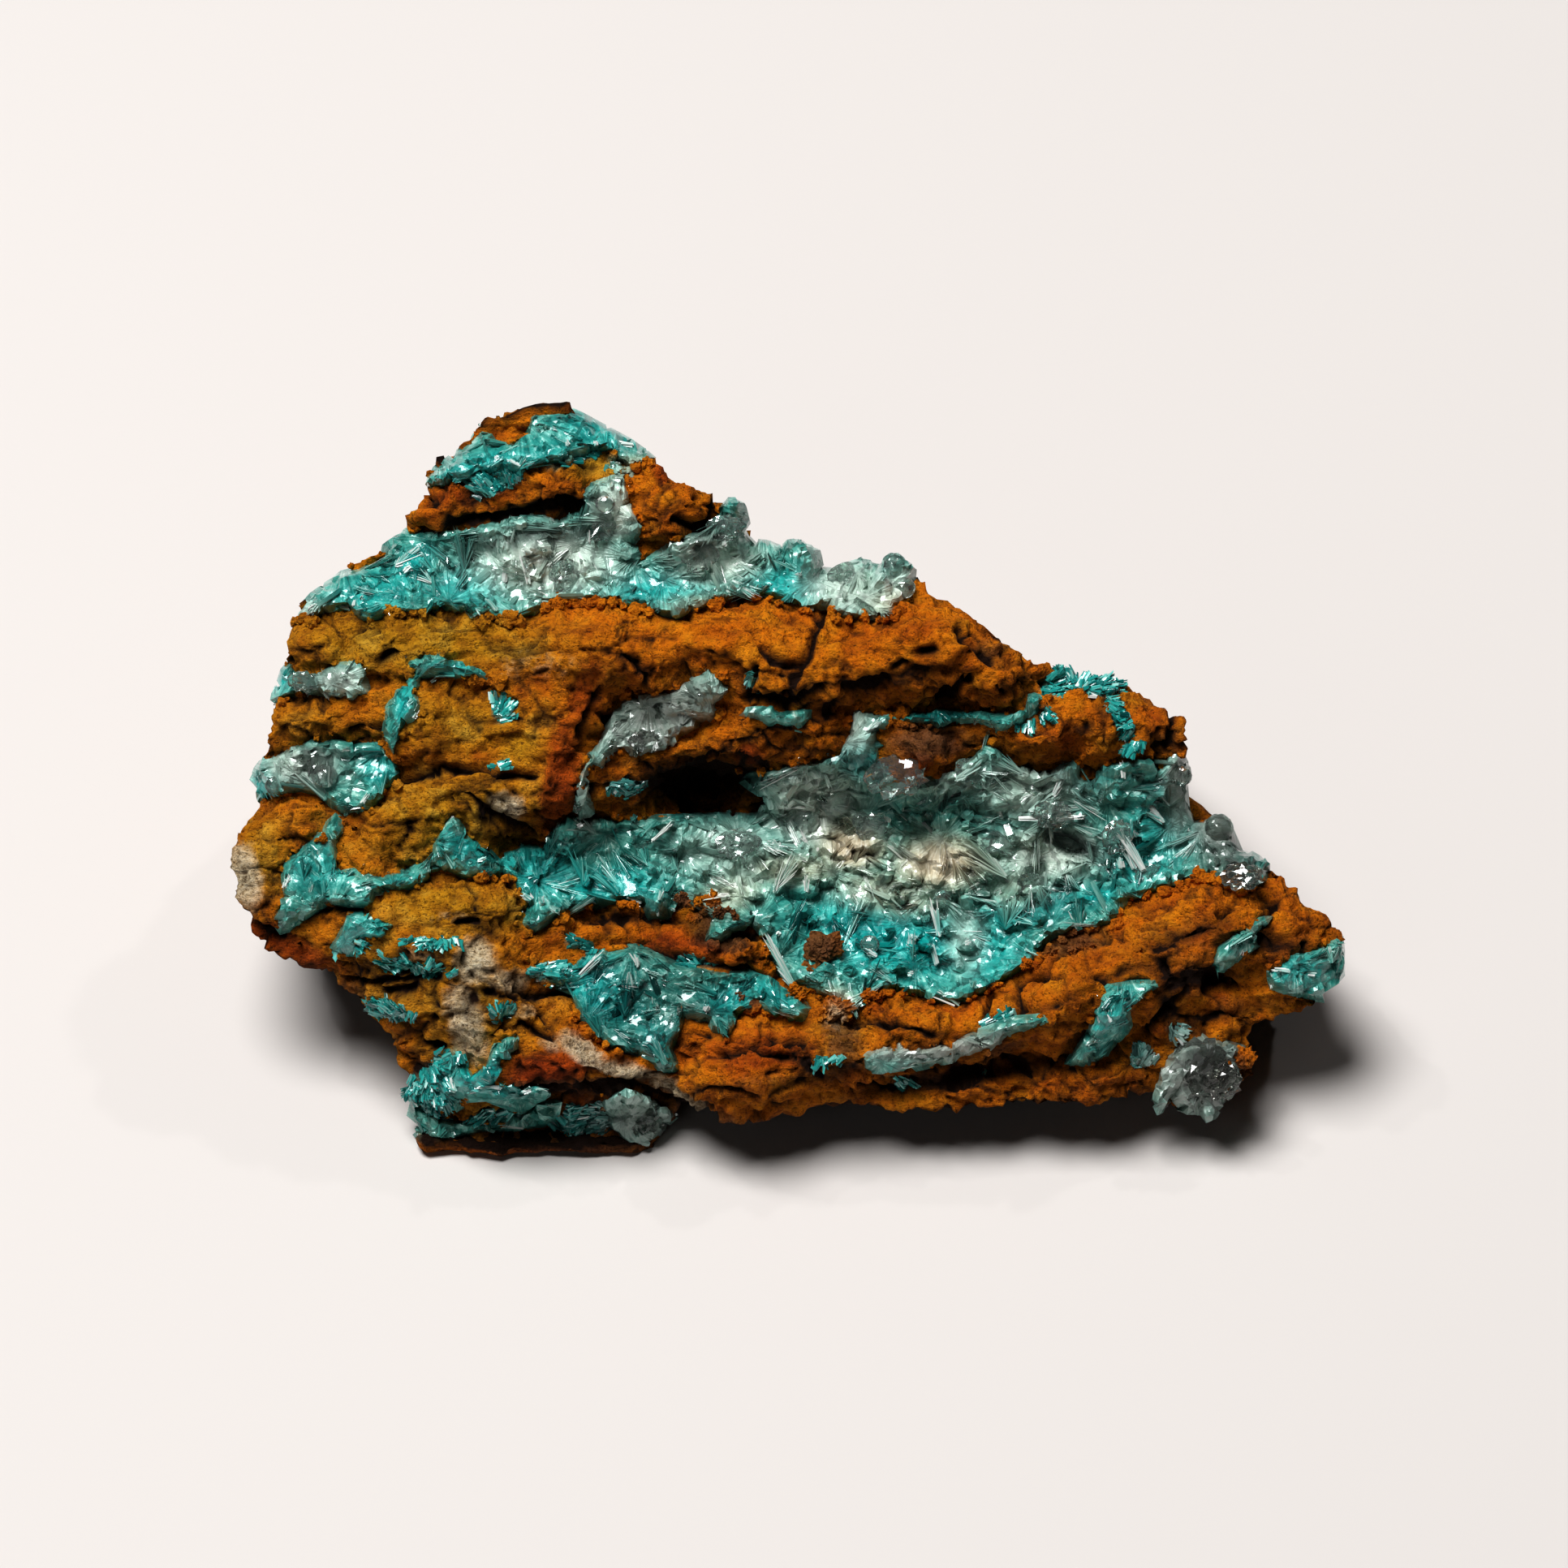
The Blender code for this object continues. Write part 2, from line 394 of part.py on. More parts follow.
def face_mesh():
    """The points of the rock's face, its triangles, and which hollow each triangle lies in."""
    names = list(HOLLOWS)
    outlines = [even_outline(SILHOUETTE, FACE_CELL)]
    outlines += [even_outline(HOLLOWS[name].outline, FACE_CELL) for name in names]
    outlines += [even_outline(outline, FACE_CELL) for outline, _ in DARK_HOLLOWS]
    borders = [HOLLOWS[name].outline for name in names] + [outline for outline, _ in DARK_HOLLOWS]
    points = scattered_points(SILHOUETTE, FACE_CELL, 0.62 * FACE_CELL, 3, borders)
    places, triangles = triangulate(outlines, points)
    hollow_triangles = {name: [] for name in names}
    for triangle, owners in triangles:
        dark = any(index > len(names) for index in owners)
        for index, name in enumerate(names):
            if index + 1 in owners and not dark:
                hollow_triangles[name].append(triangle)
                break
    used = sorted({index for triangle, _ in triangles for index in triangle})
    rows = {index: row for row, index in enumerate(used)}
    points = [places[index].copy() for index in used]
    faces = [tuple(rows[i] for i in triangle) for triangle, _ in triangles]
    for name in names:
        hollow_triangles[name] = [tuple(rows[i] for i in tri) for tri in hollow_triangles[name]]
    return points, faces, hollow_triangles


def border_loop(faces):
    """The rim of a sheet as one loop of point numbers, in the faces' own sense."""
    sides = {(tri[i], tri[(i + 1) % 3]) for tri in faces for i in range(3)}
    onward = {start: end for start, end in sides if (end, start) not in sides}
    first = min(onward)
    loop = [first]
    while onward[loop[-1]] != first:
        loop.append(onward[loop[-1]])
    return loop


def upward(points, faces):
    """The triangles turned so that each one runs anticlockwise seen from the front."""
    turned = []
    for a, b, c in faces:
        side = (points[b] - points[a]).cross(points[c] - points[a])
        turned.append((a, b, c) if side > 0 else (a, c, b))
    return turned


def add_object(name, bm, material):
    mesh = bpy.data.meshes.new(name)
    bm.to_mesh(mesh)
    bm.free()
    mesh.materials.append(material)
    thing = bpy.data.objects.new(name, mesh)
    bpy.context.scene.collection.objects.link(thing)
    return thing


def wall_rings(points, heights, loop):
    """Rings of (u, v, w) that step back from the face's rim to the rock's back, each a little smaller."""
    rings = []
    for number, (depth_share, size) in enumerate(WALL_STEPS):
        ring = []
        for i in loop[::2]:
            near = points[i]
            lump = noise.noise(Vector((near.x / 6, near.y / 3.5, 1.1 * number)))
            crag = noise.noise(Vector((near.x / 2.5, near.y / 1.8, 1.9 * number + 4)))
            spot = near * (size - WALL_DENT * (0.45 + 0.8 * lump) - 0.4 * WALL_DENT * (0.5 + crag))
            level = back_height(spot.x, spot.y)
            share = min(1.0, depth_share * (1.0 + 0.25 * crag))
            w = heights[i] + share * (level - heights[i])
            ring.append((spot.x, spot.y, max(w, base_level(spot.y))))
        rings.append(ring)
    return rings


def make_rock(points, heights, faces, material):
    """The rock: its face, its walls narrowing backwards in steps, and its back and base."""
    bm = bmesh.new()
    front = [bm.verts.new(place(p.x, p.y, w)) for p, w in zip(points, heights)]
    for tri in faces:
        bm.faces.new([front[i] for i in tri])
    loop = border_loop(faces)
    rim = [front[i] for i in loop]
    rings = wall_rings(points, heights, loop)
    first, *later = [[bm.verts.new(place(*spot)) for spot in ring] for ring in rings]
    for k in range(0, len(rim), 2):
        here, ahead = first[k // 2], first[(k // 2 + 1) % len(first)]
        beyond = rim[k + 1 : k + 3] if k + 2 < len(rim) else rim[k + 1 :] + rim[:1]
        bm.faces.new([rim[k], here, ahead] + beyond[::-1])
    ring = first
    for deeper in later:
        for k in range(len(ring)):
            bm.faces.new([ring[k], deeper[k], deeper[(k + 1) % len(ring)], ring[(k + 1) % len(ring)]])
        ring = deeper
    outline = [Vector(spot[:2]) for spot in rings[-1]]
    inner = scattered_points([tuple(p) for p in outline], BACK_CELL, 0.5 * BACK_CELL, 5)
    places, triangles = triangulate([outline], inner)
    back = ring + [bm.verts.new(place(p.x, p.y, back_height(p.x, p.y))) for p in places[len(ring):]]
    for a, b, c in upward(places, [tri for tri, _ in triangles]):
        bm.faces.new([back[a], back[c], back[b]])
    bmesh.ops.triangulate(bm, faces=[f for f in bm.faces if len(f.verts) > 3])
    return add_object("limonite_matrix", bm, material)


def largest_patch(faces):
    """The biggest run of triangles that share sides, with no two parts meeting at a lone corner."""
    left = set(faces)
    best = []
    while left:
        patch = [left.pop()]
        for tri in patch:
            for other in [o for o in left if len(set(o) & set(tri)) == 2]:
                left.discard(other)
                patch.append(other)
        best = max(best, patch, key=len)
    sides = {(tri[i], tri[(i + 1) % 3]) for tri in best for i in range(3)}
    starts = [start for start, end in sides if (end, start) not in sides]
    pinched = {start for start in starts if starts.count(start) > 1}
    if not pinched:
        return best
    worst = min(pinched)
    fan = [tri for tri in best if worst in tri]
    run = [fan[0]]
    for tri in run:
        run += [o for o in fan if o not in run and len(set(o) & set(tri)) == 2]
    rest = [tri for tri in fan if tri not in run]
    cut = run if len(run) < len(rest) else rest
    return largest_patch([tri for tri in best if tri not in cut])


def spray_lean(u, v):
    """The way a lath leans at (u, v): away from the nearest spray's heart."""
    heart = min(SPRAY_HEARTS, key=lambda h: math.dist(h, (u, v)))
    away = Vector((u - heart[0], v - heart[1]))
    return away * min(1.0, 1.0 / max(away.length, 0.01))


def grow(bm, face, u_shift, v_shift, rise, taper):
    """Draws one face of the crust out into a crystal with a flat tip."""
    top = bmesh.ops.extrude_discrete_faces(bm, faces=[face])["faces"][0]
    centre = top.calc_center_median()
    shift = place(u_shift, v_shift, rise) - place(0, 0, 0)
    for vert in top.verts:
        vert.co = centre + (vert.co - centre) * taper + shift
    return top


def make_crust(name, hollow, points, heights, triangles, material):
    """One hollow's crystals as a single crust: a thin bed over the rock with a crystal on each facet."""
    patch = largest_patch(triangles)
    loop = border_loop(patch)
    border = set(loop)
    used = sorted({i for tri in patch for i in tri})
    rng = random.Random(name)
    inward = {}
    for order, i in enumerate(loop):
        before, after = points[loop[order - 1]], points[loop[(order + 1) % len(loop)]]
        along = (after - before).normalized()
        inward[i] = Vector((-along.y, along.x)) * CRUST_INSET
    climb = {i: 0.0 for i in used}
    for tri in patch:
        for i in border.intersection(tri):
            for j in tri:
                share = 1.5 * CRUST_INSET / max((points[j] - points[i]).length, 0.3)
                climb[i] = max(climb[i], share * (heights[j] - heights[i]))
    bm = bmesh.new()
    low, high = {}, {}
    for i in used:
        p = points[i] + inward.get(i, Vector((0.0, 0.0)))
        bed = heights[i] + climb[i] + CRUST_GAP
        thickness = CRUST_THICKNESS * (0.6 if i in border else 1.0)
        low[i] = bm.verts.new(place(p.x, p.y, bed))
        high[i] = bm.verts.new(place(p.x, p.y, bed + thickness))
    for tri in patch:
        bm.faces.new([low[i] for i in reversed(tri)])
    tops = [bm.faces.new([high[i] for i in tri]) for tri in patch]
    for k, i in enumerate(loop):
        j = loop[(k + 1) % len(loop)]
        bm.faces.new([low[i], low[j], high[j], high[i]])
    bend, skew = math.radians(70), math.radians(60)
    bmesh.ops.join_triangles(bm, faces=tops, angle_face_threshold=bend, angle_shape_threshold=skew)
    high_verts = set(high.values())
    rim_verts = {high[i] for i in border}
    facets = [f for f in bm.faces if all(v in high_verts for v in f.verts)]
    near_rim = {v for f in facets if rim_verts.intersection(f.verts) for v in f.verts}
    chosen = {}
    for spire in SPIRES.get(name, ()):
        foot = Vector((spire.u, spire.v))
        free = [f for f in facets if f not in chosen]
        near = min(free, key=lambda f: (face_axes(f.calc_center_median()).xy - foot).length)
        chosen[near] = spire
    for facet in facets:
        spire = chosen.get(facet)
        if spire:
            top = grow(bm, facet, 0.55 * spire.du, 0.55 * spire.dv, 0.55 * spire.dw, 0.85)
            grow(bm, top, 0.45 * spire.du, 0.45 * spire.dv, 0.45 * spire.dw, spire.tip)
            continue
        if facet.calc_area() < 0.35 * MM * MM:
            continue
        spot = face_axes(facet.calc_center_median())
        rise = rng.uniform(hollow.shortest, hollow.longest)
        if rim_verts.intersection(facet.verts):
            rise *= 0.45
        lean = spray_lean(spot.x, spot.y) * SPRAY_LEAN * rise
        if near_rim.intersection(facet.verts):
            lean *= 0.0
        grow(bm, facet, lean.x, lean.y, rise, rng.uniform(0.8, 1.2) * hollow.taper)
    bmesh.ops.triangulate(bm, faces=[f for f in bm.faces if len(f.verts) > 3])
    return add_object(name, bm, material)


def face_axes(point):
    """A point of the world, in metres, as (u, v, w) of the face, in mm."""
    sine, cosine = math.sin(FACE_TILT), math.cos(FACE_TILT)
    x, y, z = point / MM
    y += FACE_FORWARD
    z -= FACE_DROP
    return Vector((x, y * sine + z * cosine, z * sine - y * cosine))


def stone(name, colour, roughness_value, transmission=0.0, ior=1.5):
    material = bpy.data.materials.new(name)
    material.use_nodes = True
    shader = material.node_tree.nodes["Principled BSDF"]
    shader.inputs["Base Color"].default_value = (*colour, 1.0)
    shader.inputs["Roughness"].default_value = roughness_value
    shader.inputs["Metallic"].default_value = 0.0
    shader.inputs["Transmission Weight"].default_value = transmission
    shader.inputs["IOR"].default_value = ior
    material.diffuse_color = (*colour, 1.0)
    return material


def main():
    clear_scene()
    points, faces, hollow_triangles = face_mesh()
    faces = upward(points, faces)
    heights = [face_height(p.x, p.y) for p in points]
    materials = {
        "limonite": stone("limonite", (0.38, 0.13, 0.02), 0.9),
        TEAL: stone(TEAL, (0.02, 0.33, 0.33), 0.35, 0.3, 1.6),
        GREY: stone(GREY, (0.35, 0.45, 0.43), 0.1, 0.8, 1.62),
    }
    make_rock(points, heights, faces, materials["limonite"])
    for name, hollow in HOLLOWS.items():
        triangles = upward(points, hollow_triangles[name])
        make_crust(name, hollow, points, heights, triangles, materials[hollow.stone])


main()
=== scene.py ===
# %% [markdown]
# Aurichalcite on limonite. The rock is packed as one solid and the crystals of each hollow as one
# crust. This lesson dresses them: the rock gets its crumbly surface and rusty colours, and each crust
# gets its silky sprays and clear crystals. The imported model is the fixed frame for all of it.

# %% Load the frame
import math
import random

import bmesh
import bpy
import numpy as np
from mathutils import Matrix, Vector, noise
from mathutils.bvhtree import BVHTree
from mathutils.kdtree import KDTree


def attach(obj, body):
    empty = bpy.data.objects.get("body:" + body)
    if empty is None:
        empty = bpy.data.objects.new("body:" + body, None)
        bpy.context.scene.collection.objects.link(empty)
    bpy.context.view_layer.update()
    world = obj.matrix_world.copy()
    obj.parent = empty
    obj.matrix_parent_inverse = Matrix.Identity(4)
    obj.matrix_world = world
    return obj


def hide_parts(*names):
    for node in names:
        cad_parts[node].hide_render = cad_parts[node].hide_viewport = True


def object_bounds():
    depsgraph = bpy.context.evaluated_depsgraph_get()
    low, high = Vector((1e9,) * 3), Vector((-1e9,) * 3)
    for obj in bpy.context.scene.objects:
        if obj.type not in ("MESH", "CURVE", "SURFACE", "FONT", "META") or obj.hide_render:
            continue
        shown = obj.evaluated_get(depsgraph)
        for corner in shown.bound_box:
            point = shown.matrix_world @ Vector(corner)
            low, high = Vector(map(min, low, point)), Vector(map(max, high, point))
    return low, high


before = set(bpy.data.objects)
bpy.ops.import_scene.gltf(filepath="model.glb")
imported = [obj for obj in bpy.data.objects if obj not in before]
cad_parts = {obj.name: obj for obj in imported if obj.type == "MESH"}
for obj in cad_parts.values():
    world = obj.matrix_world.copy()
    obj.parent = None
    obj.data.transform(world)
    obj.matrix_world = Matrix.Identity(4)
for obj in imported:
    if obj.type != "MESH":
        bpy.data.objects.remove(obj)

cad_bounds = [list(corner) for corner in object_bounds()]
MM = 0.001
LOWEST, HIGHEST = (np.array(corner) for corner in cad_bounds)
BODY = "root"
CRUSTS = [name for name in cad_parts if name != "limonite_matrix"]
print("the solids span", [round(1000 * (b - a), 1) for a, b in zip(*cad_bounds)], "mm")

# %% [markdown]
# The crystal face leans back. Its own axes are handier than the world's for placing colours and
# crystals: u runs right, v runs up the face and w comes out of it, all in millimetres. FACE_TILT is how
# far the face's normal is turned up from level, and the other two put the face's middle in the frame.

# %% The face's own axes
FACE_TILT = math.radians(50)
FACE_DROP = 17.2
FACE_FORWARD = 2.5
SINE, COSINE = math.sin(FACE_TILT), math.cos(FACE_TILT)


def to_face(points):
    """Rows of (x, y, z) in metres as rows of (u, v, w) in mm."""
    x, y, z = np.asarray(points, float).T / MM
    y, z = y + FACE_FORWARD, z - FACE_DROP
    return np.stack([x, y * SINE + z * COSINE, z * SINE - y * COSINE], axis=1)


def from_face(points):
    """Rows of (u, v, w) in mm as rows of (x, y, z) in metres."""
    u, v, w = np.asarray(points, float).T
    return np.stack([u, v * SINE - w * COSINE - FACE_FORWARD, v * COSINE + w * SINE + FACE_DROP], axis=1) * MM


OUTWARD = Vector((0.0, -COSINE, SINE))
UPWARD = Vector((0.0, SINE, COSINE))
print("the middle of the face is at", from_face([(0, 0, 0)])[0])

# %% [markdown]
# Colours change over a rock in patches, not along lines. A patch here is an ellipse on the face, with a
# strength that fades out at its rim. Many named patches together give each colour a mask, which is kept
# on the mesh as an attribute that the material reads.

# %% A patch and a mask
def patch_strength(patch, places):
    """How strongly one patch (u, v, half length, half height, slant, strength) holds at each place."""
    u0, v0, length, height, slant, strength = patch
    turn = math.radians(slant)
    du, dv = places[:, 0] - u0, places[:, 1] - v0
    along = (du * math.cos(turn) + dv * math.sin(turn)) / length
    across = (dv * math.cos(turn) - du * math.sin(turn)) / height
    return strength * np.exp(-((along**2 + across**2) ** 1.5))


def mask(patches, places):
    """The strongest of the patches at each place."""
    return np.max([patch_strength(patch, places) for patch in patches], axis=0)


# %% [markdown]
# Limonite is rusty orange where it is dry and grainy, mustard where it is earthy, red-brown where it is
# dense and cream where it is leached, and its cracks are darkened almost to black as painted shade. These
# lists say where each of them is, read from the specimen's face.

# %% Where the rock's colours are
MUSTARD = (
    (-23.0, 9.6, 10.0, 2.6, -3, 1.0), (-12.0, 20.4, 2.4, 1.0, 0, 0.9), (-29.5, 4.5, 3.6, 2.0, 0, 0.55),
    (-20.0, 4.6, 5.4, 2.6, 0, 0.85), (-16.4, 3.0, 1.8, 1.5, 0, 1.0), (-21.0, -1.2, 6.5, 3.4, 12, 0.95),
    (-32.5, -3.5, 2.6, 3.0, 0, 0.8), (-20.5, -6.8, 6.0, 2.2, -6, 0.95), (-21.0, -11.5, 7.5, 4.0, -20, 0.7),
    (-20.0, -15.5, 4.0, 2.2, -20, 0.6), (-18.5, -19.3, 2.6, 0.6, 0, 0.7), (3.0, -15.0, 2.2, 2.2, 0, 0.35),
)
RED = (
    (-13.9, 0.6, 1.6, 6.0, -6, 0.85), (-12.4, 6.4, 1.4, 3.0, -20, 0.7), (-20.0, 18.4, 5.5, 1.6, 8, 0.6),
    (-2.4, 2.2, 1.2, 1.0, 0, 0.9), (-14.6, -16.8, 3.8, 1.5, 4, 1.0), (-31.2, -9.2, 5.0, 1.0, -28, 0.9),
    (-6.2, -9.2, 3.2, 1.3, -10, 0.8), (-1.8, -15.6, 5.6, 1.9, 0, 0.7), (-13.0, -19.6, 2.0, 1.4, 0, 0.7),
    (8.2, 2.0, 1.3, 0.8, 0, 0.8), (1.5, 3.6, 2.4, 1.6, 10, 0.4), (-7.5, 20.1, 1.2, 0.6, 0, 0.8),
    (5.0, -18.6, 4.0, 1.0, 0, 0.4), (-16.0, -21.9, 7.0, 0.7, 0, 0.8), (27.0, -7.0, 1.5, 1.0, 0, 0.3),
    (17.0, 3.6, 2.6, 1.4, 0, 0.55), (21.6, 4.6, 2.0, 1.6, 0, 0.45), (13.0, -11.6, 3.0, 1.4, 10, 0.35),
)
CREAM = (
    (-15.6, 8.0, 3.6, 1.4, 0, 0.42), (-33.6, -5.0, 1.6, 2.6, 10, 0.95), (-17.2, -0.7, 1.3, 1.2, 0, 0.95),
    (-19.2, -10.2, 1.5, 1.7, 0, 1.0), (-19.8, -14.0, 1.5, 3.2, 12, 0.9), (-17.2, -11.4, 1.8, 0.9, 0, 0.75),
    (-22.6, -9.8, 2.2, 0.9, 0, 0.5), (-20.6, -7.4, 2.0, 0.6, 0, 0.5), (-16.2, -13.2, 1.6, 0.7, 0, 0.6),
    (-12.4, -15.8, 2.4, 0.8, -35, 0.9), (-9.6, -17.0, 3.2, 0.7, -16, 0.95), (-6.6, -18.6, 2.6, 0.6, -30, 0.95),
    (-22.2, -17.8, 0.8, 1.8, 15, 0.75), (3.0, -13.4, 1.0, 1.2, 0, 0.6), (4.0, -13.0, 1.0, 0.5, 0, 0.5),
    (-14.5, -15.2, 1.4, 0.6, -20, 0.6), (12.0, -14.6, 2.0, 0.5, 20, 0.3), (-5.2, 5.6, 0.4, 1.4, 20, 0.3),
)
UMBER = (
    (8.6, 3.4, 3.4, 1.6, 0, 0.85), (23.6, 3.4, 1.0, 1.8, 0, 0.5), (17.6, 4.4, 0.9, 0.8, 0, 0.4),
    (-4.0, -8.0, 2.4, 2.0, 0, 0.9), (2.0, -9.4, 2.0, 2.0, 0, 0.9), (-2.6, -12.4, 2.2, 1.1, 0, 0.8),
    (17.5, -9.0, 3.0, 1.0, 15, 0.75), (12.4, 9.0, 1.3, 1.0, -40, 0.6), (-13.0, -17.9, 9.0, 0.6, 0, 0.7),
    (-13.5, -21.6, 8.0, 1.2, 0, 0.75), (-6.0, -19.8, 4.0, 0.8, 0, 0.8), (27.2, -12.8, 2.6, 0.7, 10, 0.5),
    (-27.0, -12.2, 2.5, 0.9, -35, 0.6), (28.0, -17.0, 1.2, 1.6, 0, 0.6), (-25.0, -9.0, 3.0, 0.8, 0, 0.3),
    (-14.5, -12.6, 2.0, 1.2, 0, 0.45), (9.0, -17.6, 4.0, 0.6, 8, 0.7), (20.0, -16.4, 1.8, 1.2, 0, 0.3),
    (24.0, -9.6, 7.0, 4.0, 20, 0.42), (14.0, -13.6, 5.0, 2.4, 16, 0.36), (30.0, -9.6, 4.0, 2.6, 0, 0.4),
    (-24.0, -12.0, 4.0, 3.0, 0, 0.3), (21.0, -17.0, 5.0, 2.0, 20, 0.4), (-26.0, 2.4, 4.0, 1.6, 0, 0.3),
    (8.0, -16.0, 8.0, 1.0, 6, 0.55), (3.4, -14.8, 1.6, 2.4, 10, 0.7), (-1.0, -17.6, 4.0, 0.8, 0, 0.5),
    (-6.6, -6.4, 0.9, 0.8, 0, 0.9), (24.6, 6.4, 1.4, 0.8, 0, 0.6), (13.4, -15.6, 2.4, 0.6, 20, 0.7),
)
TEAL_STAIN = (
    (-17.6, 5.3, 0.7, 0.8, 0, 0.9), (-26.2, -8.4, 2.0, 0.9, 20, 0.5), (-22.2, -9.0, 1.0, 0.3, -12, 0.9),
    (-23.0, -10.7, 2.3, 0.5, -10, 0.9), (-24.4, -13.3, 1.5, 0.6, -8, 0.9), (-14.4, -10.9, 1.9, 0.7, 6, 0.8),
    (-17.4, -13.6, 1.0, 0.5, 20, 0.5), (13.0, -13.9, 1.8, 0.3, 10, 0.6), (-2.2, 7.2, 0.4, 0.5, 0, 0.9),
    (21.8, -16.3, 0.7, 0.6, 0, 0.8), (18.4, 7.0, 2.4, 0.7, -10, 0.8), (20.6, 4.8, 0.5, 1.6, 30, 0.9),
    (16.0, 5.0, 0.6, 0.9, 0, 0.5), (24.0, -14.4, 0.8, 0.8, 30, 0.5), (-10.0, 0.4, 1.6, 0.6, 0, 0.7),
    (12.0, -17.2, 0.8, 0.3, 0, 0.4), (7.0, -17.6, 1.6, 0.3, -10, 0.5), (-18.0, 1.8, 2.4, 0.25, 4, 0.4),
    (-17.8, 19.2, 1.8, 0.7, 20, 0.8), (-13.6, 21.0, 2.6, 0.8, 10, 0.8), (-10.4, 20.4, 1.4, 0.6, -30, 0.6),
    (-22.4, -18.2, 2.4, 1.3, 20, 1.0), (-22.6, -20.4, 2.2, 0.9, -10, 1.0), (-21.0, -16.6, 1.4, 1.0, 40, 0.8), (-17.4, -19.9, 2.8, 0.5, 0, 0.7),
    (-12.4, -20.0, 2.8, 1.0, 0, 0.7), (16.8, 6.9, 1.4, 0.7, 20, 0.9), (14.8, 4.6, 0.7, 0.6, 0, 0.7),
    (21.2, 3.0, 1.2, 0.4, 30, 0.6), (-27.0, -9.2, 1.0, 0.5, 20, 0.7), (-20.8, -8.9, 1.0, 0.3, 0, 0.7),
    (-12.6, -9.2, 1.4, 0.4, -20, 0.6), (2.6, -16.2, 1.6, 0.3, 10, 0.5), (-5.6, -10.4, 1.6, 0.4, -10, 0.6),
)
print(sum(map(len, (MUSTARD, RED, CREAM, UMBER, TEAL_STAIN))), "patches of colour")
